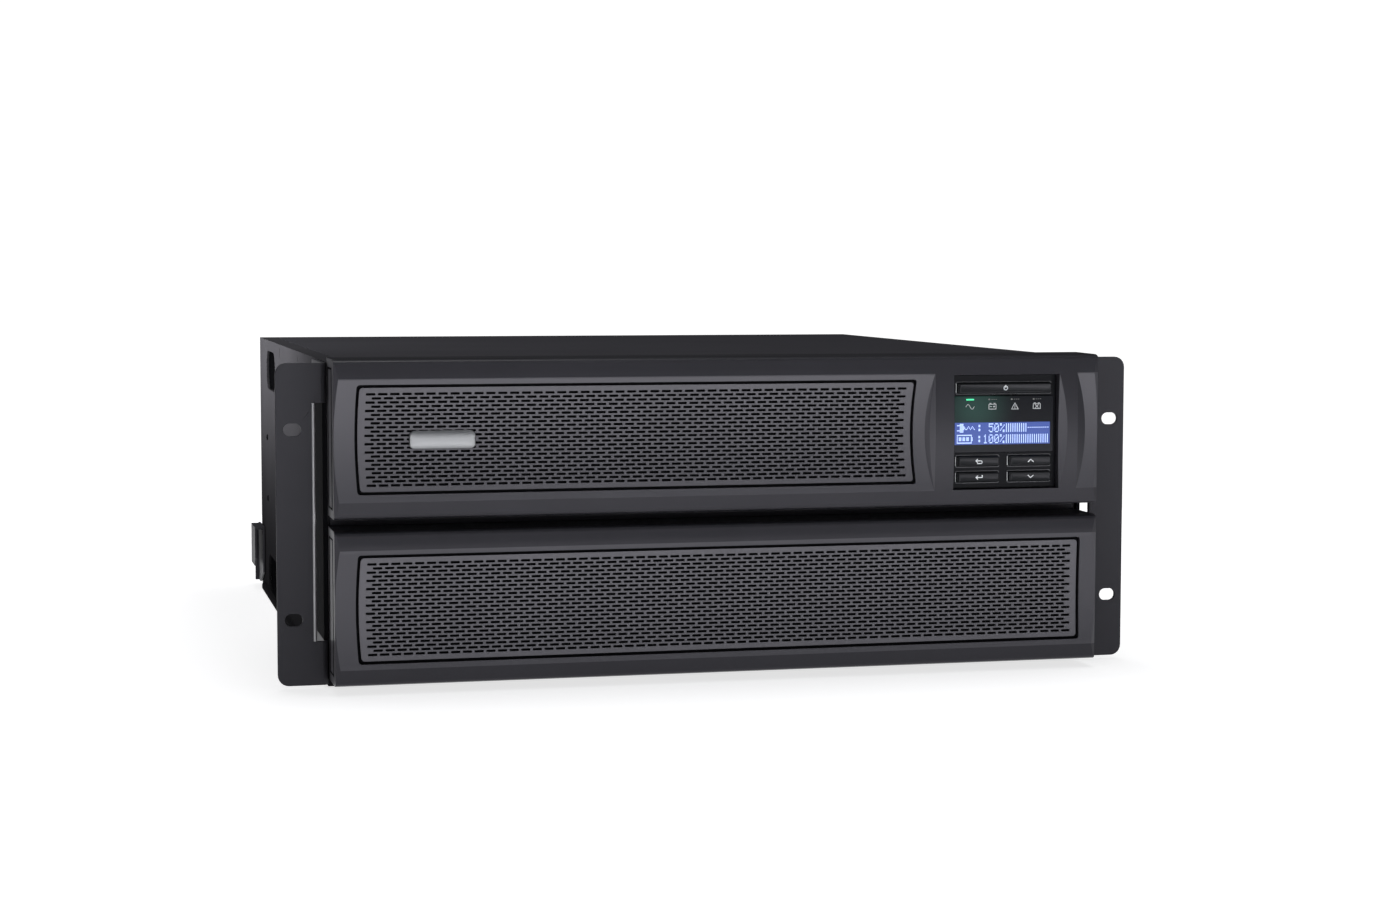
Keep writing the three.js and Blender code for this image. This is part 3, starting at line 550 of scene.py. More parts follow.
def make_end_lines(name, field):
    """Black sunk line round the end faces of a bezel."""
    bm = bmesh.new()
    y0, y1 = FRONT + SIDE_DEPTH + PILLOW_DROP + END_RIM, BACK - END_RIM
    z0, z1 = field.low.z + END_RIM, field.high.z - END_RIM
    wide, thin = END_LINE
    strips = (
        (y0, y0 + wide, z0, z1), (y1 - wide, y1, z0, z1),
        (y0 + wide, y1 - wide, z0, z0 + thin), (y0 + wide, y1 - wide, z1 - thin, z1),
    )
    for sign in (-1, 1):
        x0, x1 = sorted(sign * (HALF + reach) for reach in END_REACH)
        for ya, yb, za, zb in strips:
            add_block(bm, (x0, ya, za), (x1, yb, zb))
    make_piece(name + "_end_lines", bm, MATT_BLACK, name)


def opening_edge(grid, zs, bounds, column):
    """Vertices round the opening between a column and the next, its left side first."""
    rows = [i for i, z in enumerate(zs) if bounds[0] - TOUCH <= z <= bounds[1] + TOUCH]
    return [grid[i][column] for i in rows] + [grid[i][column + 1] for i in reversed(rows)]


def ledge_walls(bm, grid, zs, field):
    """The wall of the grille opening and the ledge that the grille rests on."""
    front = opening_edge(grid, zs, (field.z0, field.z1), FIELD_COLUMN)
    wall = [bm.verts.new(v.co + at(0, LEDGE_DEPTH, 0)) for v in front]
    bridge(bm, front, wall)
    centre = (field.z0 + field.z1) / 2
    shrink = 1 - LEDGE_WIDTH / (centre - field.z0)
    lips = []
    for i, v in enumerate(wall):
        inward = LEDGE_WIDTH if i < len(wall) / 2 else -LEDGE_WIDTH
        z = centre + (v.co.z / MM - centre) * shrink
        lips.append(bm.verts.new(at(v.co.x / MM + inward, v.co.y / MM, z)))
    bridge(bm, wall, lips)


def display_sleeve(bm, grid, zs):
    """Wall of the display opening, from the front face back."""
    front = opening_edge(grid, zs, OPENING_Z, DISPLAY_COLUMN)
    back = [bm.verts.new((v.co.x, SLEEVE_BACK * MM, v.co.z)) for v in front]
    bridge(bm, front, back)


# ---------------- grilles
GROOVE = 1.6  # width of the groove round the grille
ROWS = 23
ROW_PITCH = 2.18
SLOT_MARGIN = 3.0  # from the grille's end to its first slot
SLOT_PITCH = 6.26
SLOT_HALF = (2.52, 0.67)  # half length and half height of a slot
SLOT_CORNER = 0.32
PANEL_SINK = 0.5  # how far the grille lies behind the bezel's surface
PANEL_THICK = 1.0
ROW_CLEAR = 0.4  # least height between a row of slots and the grille's other levels
# Depths and inset of the matt black sheet behind each grille, which is painted shade.
SHADE_SHEET_DEPTHS = (2.4, 3.0)
SHADE_SHEET_INSET = 0.12


def slot_ring(cx, cz):
    """Points round a slot with cut corners."""
    a, b = SLOT_HALF
    c = SLOT_CORNER
    return [
        (cx - a + c, cz - b), (cx + a - c, cz - b), (cx + a, cz - b + c), (cx + a, cz + b - c),
        (cx + a - c, cz + b), (cx - a + c, cz + b), (cx - a, cz + b - c), (cx - a, cz - b + c),
    ]


def make_grille(name, field, body, look):
    """A scooped sheet with rows of slots, every second row shifted by half a pitch."""
    bm = bmesh.new()
    slots_low = (field.z0 + field.z1) / 2 - ROWS * ROW_PITCH / 2
    levels = [z for z in field.levels(GROOVE) if z < slots_low - ROW_CLEAR]
    row_start = len(levels)
    levels += [slots_low + ROW_PITCH * row for row in range(ROWS + 1)]
    levels += [z for z in field.levels(GROOVE) if z > levels[-1] + ROW_CLEAR]
    margin = GROOVE + SLOT_MARGIN
    halves = 2 * int((field.x1 - field.x0 - 2 * margin) // SLOT_PITCH)

    def line_x(z, line):
        rise = bulge(z, field.z0, field.z1)
        left = field.x0 + margin - field.bow[0] * rise
        right = field.x1 - margin - field.bow[1] * rise
        return left + (right - left) * line / halves

    def layer(depth):
        rows = []
        for z in levels:
            xs = [line_x(z, line) for line in range(halves + 1)]
            xs = [field.side_x(z, 0, GROOVE), *xs, field.side_x(z, 1, GROOVE)]
            rows.append([field.vert(bm, x, z, depth) for x in xs])
        return rows

    def add_slot(row, column):
        z = (levels[row] + levels[row + 1]) / 2
        rings = []
        for grid, depth in zip(grids, depths):
            ring = [field.vert(bm, *point, depth) for point in slot_ring(line_x(z, column), z)]
            rings.append(ring)
            a, b, c = grid[row][column:column + 3]
            f, e, d = grid[row + 1][column:column + 3]
            bm.faces.new([a, b, c, ring[1], ring[0]])
            bm.faces.new([c, d, ring[4], ring[3], ring[2], ring[1]])
            bm.faces.new([d, e, f, ring[5], ring[4]])
            bm.faces.new([f, a, ring[0], ring[7], ring[6], ring[5]])
        bridge(bm, rings[1], rings[0])

    depths = (PANEL_SINK, PANEL_SINK + PANEL_THICK)
    grids = [layer(depth) for depth in depths]
    last = halves + 2
    for row in range(len(levels) - 1):
        slotted = 0 <= row - row_start < ROWS
        first = 1 + (row - row_start) % 2
        column = 0
        while column < last:
            if slotted and column >= first and (column - first) % 2 == 0 and column + 2 < last:
                add_slot(row, column)
                column += 2
                continue
            for grid in grids:
                add_cell(bm, grid, row, column)
            column += 1
    bridge(bm, border(grids[1]), border(grids[0]))
    make_piece(name + "_face", bm, look, body, [name])


def make_shade_sheet(name, field, body):
    """Matt black sheet that fills the back of a grille and the bottom of the groove round it, standing in for
    the shade behind the slots: painted shade.
    """
    bm = bmesh.new()
    layers = []
    for depth in SHADE_SHEET_DEPTHS:
        rows = []
        for z in field.levels(SHADE_SHEET_INSET):
            ends = [field.side_x(z, side, SHADE_SHEET_INSET) for side in (0, 1)]
            rows.append([field.vert(bm, x, z, depth) for x in ends])
        layers.append(rows)
    add_slab(bm, *layers)
    make_piece(name, bm, MATT_BLACK, body)


# ---------------- rack ears
EAR_LOW, EAR_HIGH = box_mm("right_rack_ear")
EAR_SHEET = 2.0
BEND_RADIUS = 3.2
EAR_FLANGE = (214.3, 216.3)
EAR_SLOTS = ((232.55, 37.2), (232.55, 138.8))
EAR_SLOT_HALF = (4.75, 3.4)
EAR_CORNER = 6.0
EAR_WINDOW = (25.5, 153.0)
WINDOW_EDGE = 220.4  # x of the window's outer edge
WINDOW_GAP = 0.05
ROLL_RADIUS = 0.95
FLANGE_BACK = 58.0


def make_ear(name, sign):
    """Steel ear: a slotted plate, a rounded bend, a flange and a window with a rolled edge."""
    bend = BEND_RADIUS + EAR_FLANGE[0]
    z0, z1 = EAR_LOW.z, EAR_HIGH.z
    window_low, window_high = EAR_WINDOW
    width, height = EAR_HIGH.x - bend, z1 - z0
    outer = rounded_outline(bend + width / 2, z0 + height / 2, width / 2, height / 2, EAR_CORNER, 6)
    corners = [point for point in outer if point[0] > bend + EAR_CORNER + 0.1]
    outline = [(bend, z0), *corners, (bend, z1), (bend, window_high), (WINDOW_EDGE, window_high)]
    outline += [(WINDOW_EDGE, window_low), (bend, window_low)]
    slots = [rounded_outline(x, z, *EAR_SLOT_HALF, EAR_SLOT_HALF[1] - 0.01, 8) for x, z in EAR_SLOTS]
    outline, *slots = [[(sign * x, z) for x, z in loop] for loop in (outline, *slots)]
    ear = bmesh.new()
    add_plate(ear, outline, slots, EAR_PLANE, EAR_SHEET + EAR_PLANE)

    def column(bm, points, low, high):
        add_column(bm, [(sign * x, y + EAR_PLANE) for x, y in points], low, high)

    outer_bend = arc_points(bend, BEND_RADIUS, BEND_RADIUS, 270, 180, 8)
    inner_bend = arc_points(bend, BEND_RADIUS, BEND_RADIUS - EAR_SHEET, 180, 270, 8)
    back = [(x, FLANGE_BACK) for x in EAR_FLANGE]
    for low, high in ((z0, window_low), (window_high, z1)):
        column(ear, outer_bend + back + inner_bend, low, high)
    flange = bmesh.new()
    beside = (window_low + WINDOW_GAP, window_high - WINDOW_GAP)
    column(flange, [(EAR_FLANGE[0], BEND_RADIUS), *back, (EAR_FLANGE[1], BEND_RADIUS)], *beside)
    # The flange seen through the window is matt black: painted shade.
    make_piece(name + "_shaded_flange", flange, MATT_BLACK, "chassis")
    edge = bmesh.new()
    column(edge, ring_outline(WINDOW_EDGE + 0.9, 0.2, ROLL_RADIUS, 12), *beside)
    # Only the left ear's rolled edge takes the light metal of the painted highlight; the right one keeps the
    # paint.
    make_piece(name + "_edge", edge, EDGE_HIGHLIGHT_METAL if sign < 0 else PAINT, "chassis")
    plate = make_piece(name + "_plate", ear, PAINT, "chassis", [name])
    add_bevel(plate, 0.3, 40)


# ---------------- chassis details
TRAY_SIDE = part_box("right_battery_tray")[1].x / MM
SIDE_HOLE_Y = 364.0
SIDE_HOLE_Z = (16.0, 154.5)
SIDE_HOLE_LONG = 42.0  # between the centres of its two rounded ends
CUP_MOUTH = 212.3
CUP_FLOORS = (TRAY_SIDE + 0.25, 206.2)  # x of the lower and the upper cup's floor
CUP_RADII = (14.0, 13.2)  # outside and inside
CUP_SHEET = 0.4


def make_hole_cup(name, sign, z, floor):
    """A matt black cup that closes an oval side hole from inside; its black stands in for the shade in the
    hole: painted shade.
    """
    bm = bmesh.new()
    loops = []
    outside, inside = CUP_RADII
    sections = ((outside, floor), (outside, CUP_MOUTH), (inside, CUP_MOUTH), (inside, floor + CUP_SHEET))
    middle = SIDE_HOLE_Y + EAR_PLANE
    for radius, x in sections:
        oval = rounded_outline(middle, z, SIDE_HOLE_LONG / 2 + radius, radius, radius - 0.02, 8)
        loops.append([bm.verts.new(at(sign * x, y, height)) for y, height in oval])
    loft(bm, loops)
    make_piece(name, bm, MATT_BLACK, "chassis")


HEM_RUN = (60.5, 428.0)
HEM_PROFILE = ((214.02, 0.05), (215.8, 0.05), (216.4, 0.6), (216.4, 3.4), (215.9, 4.2), (214.02, 4.9))


def make_hem(name, sign):
    """The rolled hem along a side panel's bottom edge."""
    bm = bmesh.new()
    add_prism(bm, [(sign * x, z) for x, z in HEM_PROFILE], *(y + EAR_PLANE for y in HEM_RUN))
    # The left hem takes the side panel's paint with painted shade, which leaves it near black.
    make_piece(name, bm, PANEL_PAINTED_SHADE if sign < 0 else PAINT, "chassis")


def add_turned(bm, centre, sections, steps, axis="Y"):
    """A closed turned shape along an axis; sections are (radius, distance along the axis)."""
    loops = []
    for radius, along in sections:
        loop = []
        for u, v in ring_outline(0, 0, radius, steps):
            point = {"Y": (u, along, v), "X": (along, u, v)}[axis]
            loop.append(bm.verts.new(at(*(centre[i] + point[i] for i in range(3)))))
        loops.append(loop)
    loft(bm, loops)


SCREW_HEAD = ((0.9, -0.9), (1.0, 0.0), (0.96, 0.35), (0.8, 0.62), (0.45, 0.72), (0.4, 0.3), (0.05, 0.25))


def add_screw(bm, centre, radius, outward, axis="Y"):
    """A domed screw head with a round socket; outward is the sign of its direction."""
    sections = [(radius * share, outward * height * radius) for share, height in SCREW_HEAD]
    add_turned(bm, centre, sections, 18, axis)


REAR_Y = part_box("rear_panel")[1].y / MM
REAR_SCREWS = [(x, 4.5) for x in (-206, -103, 0, 103, 206)] + [(x, 170) for x in (-208, -10, 88, 208)]
REAR_SCREWS += [(-207, 70), (207, 88)]
SIDE_SCREW_Z = (66.5, 108.2)
SIDE_SCREW_X = 213.4
SIDE_SCREW_Y = 394.0


def make_screws():
    """Screw heads on the rear panel and on both sides."""
    rear = bmesh.new()
    for x, z in REAR_SCREWS:
        add_screw(rear, (x, REAR_Y, z), 2.6, 1)
    make_piece("rear_panel_screws", rear, STEEL, "chassis")
    for side, sign in (("left", -1), ("right", 1)):
        bm = bmesh.new()
        for z in SIDE_SCREW_Z:
            add_screw(bm, (sign * SIDE_SCREW_X, SIDE_SCREW_Y + EAR_PLANE, z), 2.2, sign, "X")
        make_piece(side + "_side_screws", bm, MATT_BLACK, "chassis")


# ---------------- fans
BLADES = 7
BLADE_SPAN = (15.0, 35.0)
BLADE_TURN = math.radians(38)
BLADE_SWEEP = math.radians(16)
BLADE_THICK = 1.1
BLADE_GRID = (6, 7)  # rows from hub to tip, columns along the chord
FAN_Z = 132.0


def make_rotor(side):
    """Hub with a rounded cap and seven twisted blades."""
    name = side + "_fan_rotor"
    low, high = box_mm(name)
    centre = ((low.x + high.x) / 2, 0, FAN_Z)
    bm = bmesh.new()
    hub = ((15.0, low.y), (15.6, low.y + 0.8), (15.6, high.y - 2), (14.2, high.y - 0.6), (11.5, high.y))
    add_turned(bm, centre, hub, 48)
    rows, columns = BLADE_GRID
    root, tip = BLADE_SPAN
    depth = high.y - low.y - 5

    def add_point(blade, row, column, offset):
        share, chord = row / (rows - 1), column / (columns - 1)
        radius = root + (tip - root) * share
        turn = 2 * math.pi * blade / BLADES + BLADE_SWEEP * share + BLADE_TURN * (chord - 0.5)
        y = low.y + 2 + depth * (chord + 0.16 * math.sin(math.pi * chord)) / 1.1 + offset
        return bm.verts.new(at(centre[0] + radius * math.cos(turn), y, centre[2] + radius * math.sin(turn)))

    for blade in range(BLADES):
        sheets = []
        for offset in (0.0, BLADE_THICK):
            sheets.append([
                [add_point(blade, row, column, offset) for column in range(columns)] for row in range(rows)])
        add_slab(bm, *sheets)
    make_piece(name + "_blades", bm, BLACK, side + "_fan", [name])


GUARD_RINGS = (9, 16, 23, 30, 37)
WIRE_RADIUS = 0.6
WIRE_Y = 0.62  # from the guard's front or back to the middle of a wire


def add_wire(bm, points, closed=False):
    """A round wire along points in the XZ plane, each (x, y, z)."""
    loops = []
    count = len(points)
    for index, (x, y, z) in enumerate(points):
        before = points[index - 1] if closed or index else points[index]
        after = points[(index + 1) % count] if closed or index < count - 1 else points[index]
        along = Vector((after[0] - before[0], 0, after[2] - before[2])).normalized()
        across = Vector((-along.z, 0, along.x))
        ring = ring_outline(0, 0, WIRE_RADIUS, 8)
        loops.append([bm.verts.new(at(x + across.x * u, y + v, z + across.z * u)) for u, v in ring])
    loft(bm, loops, closed)


def make_guard(side):
    """Wire finger guard: rings on four bent arms, with a screw at each corner."""
    name = side + "_fan_guard"
    low, high = box_mm(name)
    x, _, z = (low + high) / 2
    bm = bmesh.new()
    for radius in GUARD_RINGS:
        ring = ring_outline(x, z, radius, 40)
        add_wire(bm, [(px, low.y + WIRE_Y, pz) for px, pz in ring], closed=True)
    reach = (high.x - low.x) / 2 - 2.6
    for sx, sz in ((1, 1), (1, -1), (-1, 1), (-1, -1)):
        arm = [(x + sx * share, high.y - WIRE_Y, z + sz * share) for share in (6.5, 12, 20, reach)]
        add_wire(bm, arm)
        add_screw(bm, (x + sx * (reach - 0.6), high.y - 1.2, z + sz * (reach - 0.6)), 2.3, 0.6)
    make_piece(name + "_wires", bm, STEEL, "chassis", [name])


def make_badge():
    """Plain badge: a brushed plate with a pillowed face."""
    low, high = box_mm("badge")
    bm = bmesh.new()
    sections = ((0.0, high.y + 0.25), (0.0, low.y + 0.9), (0.25, low.y + 0.55), (0.8, low.y + 0.3))
    sections += ((1.7, low.y + 0.12), (2.9, low.y + 0.03), (4.1, low.y))
    add_rounded(bm, low, high, sections, 2.6, 6, fall=0.5)
    badge = make_piece("badge_plate", bm, SILVER, "upper_bezel", ["badge"])
    add_bevel(badge, 0.12, 30)


# ---------------- display module
PRINT_THICK = 0.12
WINDOW_LOW, WINDOW_HIGH = box_mm("display_window")
LCD_X = (129.9, 186.2)
LCD_Z = (126.8, 139.1)
LCD_ROWS = 2
LCD_COLUMNS = 17
LCD_BARS = 20
FULL_BAR = (0.38, 3.4)  # share of the pitch that is lit, half height in dots
EMPTY_BAR = (0.7, 0.3)
DOT_FILL = 0.86  # share of a dot's cell that is lit
DIGITS = {
    "0": ("01110", "10001", "10011", "10101", "11001", "10001", "01110"),
    "1": ("00100", "01100", "00100", "00100", "00100", "00100", "01110"),
    "5": ("11111", "10000", "11110", "00001", "00001", "10001", "01110"),
    "%": ("11000", "11001", "00010", "00100", "01000", "10011", "00011"),
    ":": ("00000", "01100", "01100", "00000", "01100", "01100", "00000"),
}
PLUG_ART = (
    "0000011110000000000000",
    "0011111110000000000000",
    "0000011111000010001000",
    "0000011111100101010100",
    "0000011111011000100010",
    "0011111110000000000000",
    "0000011110000000000000",
)
BATTERY_ART = (
    "0011111111111111110000",
    "0010000000000000010000",
    "0010111011101110011000",
    "0010111011101110011000",
    "0010111011101110011000",
    "0010000000000000010000",
    "0011111111111111110000",
)
LED_X = (138.8, 152.0, 165.3, 178.3)
LED_Z = 151.9
ICON_Z = 147.9
# Painted light: the smoked window glows green round the first lamp.
painted_lamp_glow(WINDOW, at(LED_X[0] + 3, WINDOW_LOW.y, LED_Z - 5), 0.026, (0.34, 1.0, 0.80), 0.05)


def add_stroke(bm, points, y, width):
    """A thin printed line through (x, z) points, standing PRINT_THICK proud of y."""
    for (xa, za), (xb, zb) in zip(points, points[1:]):
        length = math.hypot(xb - xa, zb - za)
        ux, uz = (xb - xa) / length * width / 2, (zb - za) / length * width / 2
        add_prism(bm, [
            (xa - ux + uz, za - uz - ux), (xb + ux + uz, zb + uz - ux),
            (xb + ux - uz, zb + uz + ux), (xa - ux - uz, za - uz + ux),
        ], y - PRINT_THICK, y)


def add_symbol(bm, lines, cx, cz, y, width):
    """Strokes round a centre."""
    for line in lines:
        add_stroke(bm, [(cx + x, cz + z) for x, z in line], y, width)


def add_dots(bm, art, x0, z_top, dot_x, dot_z, y):
    """Lit dots of a matrix display, one run of neighbours in a row as one bar."""
    for line, row in enumerate(art):
        z1 = z_top - line * dot_z
        start = None
        for column, mark in enumerate(row + "0"):
            if mark == "1" and start is None:
                start = column
            if mark != "1" and start is not None:
                low = (x0 + start * dot_x, y - PRINT_THICK, z1 - dot_z * DOT_FILL)
                add_block(bm, low, (x0 + (column - 1 + DOT_FILL) * dot_x, y, z1))
                start = None


def make_lcd():
    """Blue lit face with two rows: a plug with 50 %, a battery with 100 %, and their bars."""
    (left, right), (bottom, top) = LCD_X, LCD_Z
    front = WINDOW_LOW.y - 0.25
    face = bmesh.new()
    add_block(face, (left, front, bottom), (right, WINDOW_LOW.y - 0.02, top))
    make_piece("lcd_lit_face", face, LCD_BLUE, "display_module")
    dots = bmesh.new()
    cell = (right - left) / LCD_COLUMNS
    dot_x = cell / 6
    row_z = (top - bottom) / LCD_ROWS
    dot_z = row_z / 8.6
    bar_start, bar_end = left + 9.1 * cell, right - 0.4
    pitch = (bar_end - bar_start) / LCD_BARS
    for row, (art, text, filled) in enumerate(((PLUG_ART, " 50%", 0.5), (BATTERY_ART, "100%", 1.0))):
        z_top = top - 0.55 - row * row_z
        x = left + 0.1
        add_dots(dots, art, x, z_top, dot_x, dot_z, front)
        for place, mark in enumerate(":" + text):
            if mark in DIGITS:
                add_dots(dots, DIGITS[mark], x + (4 + place) * cell, z_top, dot_x, dot_z, front)
        middle = z_top - 3.5 * dot_z
        for bar in range(LCD_BARS):
            x0 = bar_start + bar * pitch
            lit, dots_high = FULL_BAR if bar < LCD_BARS * filled else EMPTY_BAR
            half = dot_z * dots_high
            low = (x0, front - PRINT_THICK, middle - half)
            add_block(dots, low, (x0 + pitch * lit, front, middle + half))
    make_piece("lcd_dots", dots, LCD_PALE, "display_module")


BATTERY_CASE = [
    [(-2.1, -1.4), (2.1, -1.4), (2.1, 1.3), (-2.1, 1.3), (-2.1, -1.4)],
    [(-1.6, 1.8), (-0.8, 1.8)], [(0.8, 1.8), (1.6, 1.8)],
]
LAMP_SYMBOLS = (
    [[(step * 0.3 - 2.4, 1.3 * math.sin(step * math.pi / 8)) for step in range(17)]],
    [*BATTERY_CASE, [(-1.4, 0), (-0.5, 0)], [(0.5, 0), (1.4, 0)], [(0.95, -0.45), (0.95, 0.45)]],
    [[(-2.0, -1.5), (2.0, -1.5), (0, 1.9), (-2.0, -1.5)], [(0, -0.3), (0, 0.8)], [(0, -1.0), (0, -0.75)]],
    [*BATTERY_CASE, [(-0.9, -0.9), (0.9, 0.8)], [(-0.9, 0.8), (0.9, -0.9)]],
)
LAMP_LINE = 0.27


def make_lamps():
    """Four lamps over their symbols; the first is lit."""
    y = WINDOW_LOW.y
    icons = bmesh.new()
    for index, (x, symbol) in enumerate(zip(LED_X, LAMP_SYMBOLS)):
        lamp = bmesh.new()
        half, shift = (0.5, -1.9) if index else (2.3, 0)
        add_prism(lamp, rounded_outline(x + shift, LED_Z, half, 0.42, 0.35, 3), y - PRINT_THICK, y)
        if index:
            for dash in (-0.6, 0.6, 1.8):
                add_block(lamp, (x + dash, y - 0.06, LED_Z - 0.14), (x + dash + 0.7, y, LED_Z + 0.14))
        look = LED_OFF if index else LED_ON
        make_piece(f"status_lamp_{index + 1}", lamp, look, "display_module")
        add_symbol(icons, symbol, x, ICON_Z, y, LAMP_LINE)
    make_piece("lamp_symbols", icons, PRINT_DIM, "display_module")


BUTTON_LINE = 0.42
STEM_HALF = 1.6


def make_button(name, symbol):
    """A moulded key: a chamfered cap with a slightly dished face, its stem and its symbol."""
    low, high = box_mm(name)
    bm = bmesh.new()
    cap_back = low.y + 2.4
    sections = ((0.0, cap_back), (0.0, low.y + 0.85), (0.3, low.y + 0.3), (0.75, low.y), (1.15, low.y + 0.12))
    add_rounded(bm, low, high, sections, 0.5, 3)
    middle = (low + high) / 2
    stem_low = (middle.x - STEM_HALF, cap_back - 0.2, middle.z - STEM_HALF)
    add_block(bm, stem_low, (middle.x + STEM_HALF, high.y, middle.z + STEM_HALF))
    make_piece(name + "_key", bm, KEY, name, [name])
    mark = bmesh.new()
    add_symbol(mark, symbol, middle.x, middle.z, low.y + 0.13, BUTTON_LINE)
    make_piece(name + "_symbol", mark, PRINT, name)


FRAME_SECTION = ((0.5, 0.02), (0.5, -0.3), (0.62, -0.38), (0.8, -0.38), (0.92, -0.3), (0.92, 0.02))
KEY_GLINT_GAP = 0.71  # from a key to the painted glint at the left of its frame
KEY_GLINT = 0.19


def make_button_frames():
    """Thin glossy frames round the keys in a light grey that stands in for their highlight lines, each with a
    glowing strip at its left as a glint: painted highlights.
    """
    y = HOUSING_LOW.y
    frames = bmesh.new()
    edges = bmesh.new()
    for name in BUTTON_SYMBOLS:
        low, high = box_mm(name)
        sections = [(-gap, y + depth) for gap, depth in FRAME_SECTION]
        add_rounded(frames, low, high, sections, 0.9, 4, closed=True)
        profile = arc_points(low.x - KEY_GLINT_GAP, y - 0.37, KEY_GLINT, 180, 360, 6)
        add_column(edges, profile, low.z + 0.2, high.z - 0.2)
    make_piece("button_frames", frames, FRAME_LOOK, "display_module")
    make_piece("button_frame_painted_glints", edges, PRINT_DIM, "display_module")


BUTTON_SYMBOLS = {
    "power_button": [arc_points(0, 0, 1.05, 125, 415), [(0, 0.35), (0, 1.45)]],
    "escape_button": [
        [(-1.9, 0.35), (1.0, 0.35)], arc_points(1.0, -0.4, 0.75, 90, -90, 8), [(1.0, -1.15), (-0.9, -1.15)],
        [(-1.0, 1.25), (-1.9, 0.35), (-1.0, -0.55)],
    ],
    "enter_button": [[(1.9, 1.0), (1.9, -0.1), (-1.7, -0.1)], [(-0.8, 0.8), (-1.8, -0.1), (-0.8, -1.0)]],
    "up_button": [[(-1.5, -0.6), (0, 0.7), (1.5, -0.6)]],
    "down_button": [[(-1.5, 0.6), (0, -0.7), (1.5, 0.6)]],
}


def make_window():
    """Smoked window over the lamps and the screen, with a rounded edge."""
    bm = bmesh.new()
    sections = ((0.0, WINDOW_HIGH.y), (0.0, WINDOW_LOW.y + 0.3), (0.3, WINDOW_LOW.y))
    add_rounded(bm, WINDOW_LOW, WINDOW_HIGH, sections, 0.8, 3)
    make_piece("smoked_window", bm, WINDOW, "display_module", ["display_window"])


# ---------------- stage, light and camera
PHOTO_WIDTH = 1398
FOCAL_PIXELS = 2552.3
CAMERA_PLACE = (-0.3530, -1.5769, 0.2283)
CAMERA_YAW = 0.2468
CAMERA_PITCH = 0.0750
CAMERA_ROLL = 0.0018
FLOOR_COLOUR = (0.55, 0.55, 0.56)
FLOOR_SPREAD = (0.25, 0.75)  # distances from the object, in metres
FLOOR_GLOW = (0.72, 1.05)  # at those distances
FLOOR_RADIUS = 1.3
FLOOR_MIDDLE = -0.55
FLOOR_DROP = -0.0002  # just under the object
LIGHT_POOL = (-0.72, -1.0)  # where the floor in front of the picture grows brighter, in metres
POOL_GLOW = 4.5
ROOM_STRENGTH = 0.30
ROOM_FADE = (0.7, -0.6)  # direction along Y where the room is darkest and lightest
ROOM_LEVELS = (0.06, 1.0)  # behind the object and in front of it
ROOM_TINT = (0.93, 0.96, 1.0, 1)
SKY_STRENGTH = 1.1


def make_camera():
    data = bpy.data.cameras.new("camera")
    data.sensor_width = 36
    data.lens = FOCAL_PIXELS / PHOTO_WIDTH * data.sensor_width
    data.clip_end = 60
    camera = add_object("camera", data)
    turn = Matrix.Rotation(-CAMERA_YAW, 4, "Z")
    turn @= Matrix.Rotation(math.pi / 2 - CAMERA_PITCH, 4, "X")
    turn @= Matrix.Rotation(CAMERA_ROLL, 4, "Z")
    camera.matrix_world = Matrix.Translation(CAMERA_PLACE) @ turn
    bpy.context.scene.camera = camera


def make_floor():
    """A pale disc that lights itself a little, so that it meets the white surroundings."""
    bm = bmesh.new()
    bmesh.ops.create_circle(bm, cap_ends=True, segments=96, radius=FLOOR_RADIUS)
    for vert in bm.verts:
        vert.co.y += FLOOR_MIDDLE
        vert.co.z = FLOOR_DROP
    material, tree, shader = new_material("pale_floor", {
        "Base Color": (*FLOOR_COLOUR, 1), "Roughness": 0.95,
        "Specular IOR Level": 0.0, "Emission Color": (1, 1, 1, 1),
    })
    place = object_place(tree)
    reach = add_node(tree, "VectorMath", {0: place}, operation="LENGTH")
    split = add_node(tree, "SeparateXYZ", {0: place})
    spread = smooth_fade(tree, reach.outputs["Value"], *FLOOR_SPREAD, *FLOOR_GLOW)
    pool = smooth_fade(tree, split.outputs["Y"], *LIGHT_POOL, 0, POOL_GLOW)
    total = add_node(tree, "Math", {0: spread, 1: pool})
    tree.links.new(total.outputs["Value"], shader.inputs["Emission Strength"])
    floor = add_mesh("floor", bm, material)


def add_light(name, place, target, size, power, spread):
    """A soft rectangular lamp aimed at a target."""
    data = bpy.data.lights.new(name, "AREA")
    data.shape = "RECTANGLE"
    data.size, data.size_y = size
    data.energy = power
    data.spread = math.radians(spread)
    lamp = add_object(name, data)
    lamp.location = place
    direction = Vector(target) - Vector(place)
    lamp.rotation_euler = direction.to_track_quat("-Z", "Y").to_euler()
    lamp.visible_camera = False


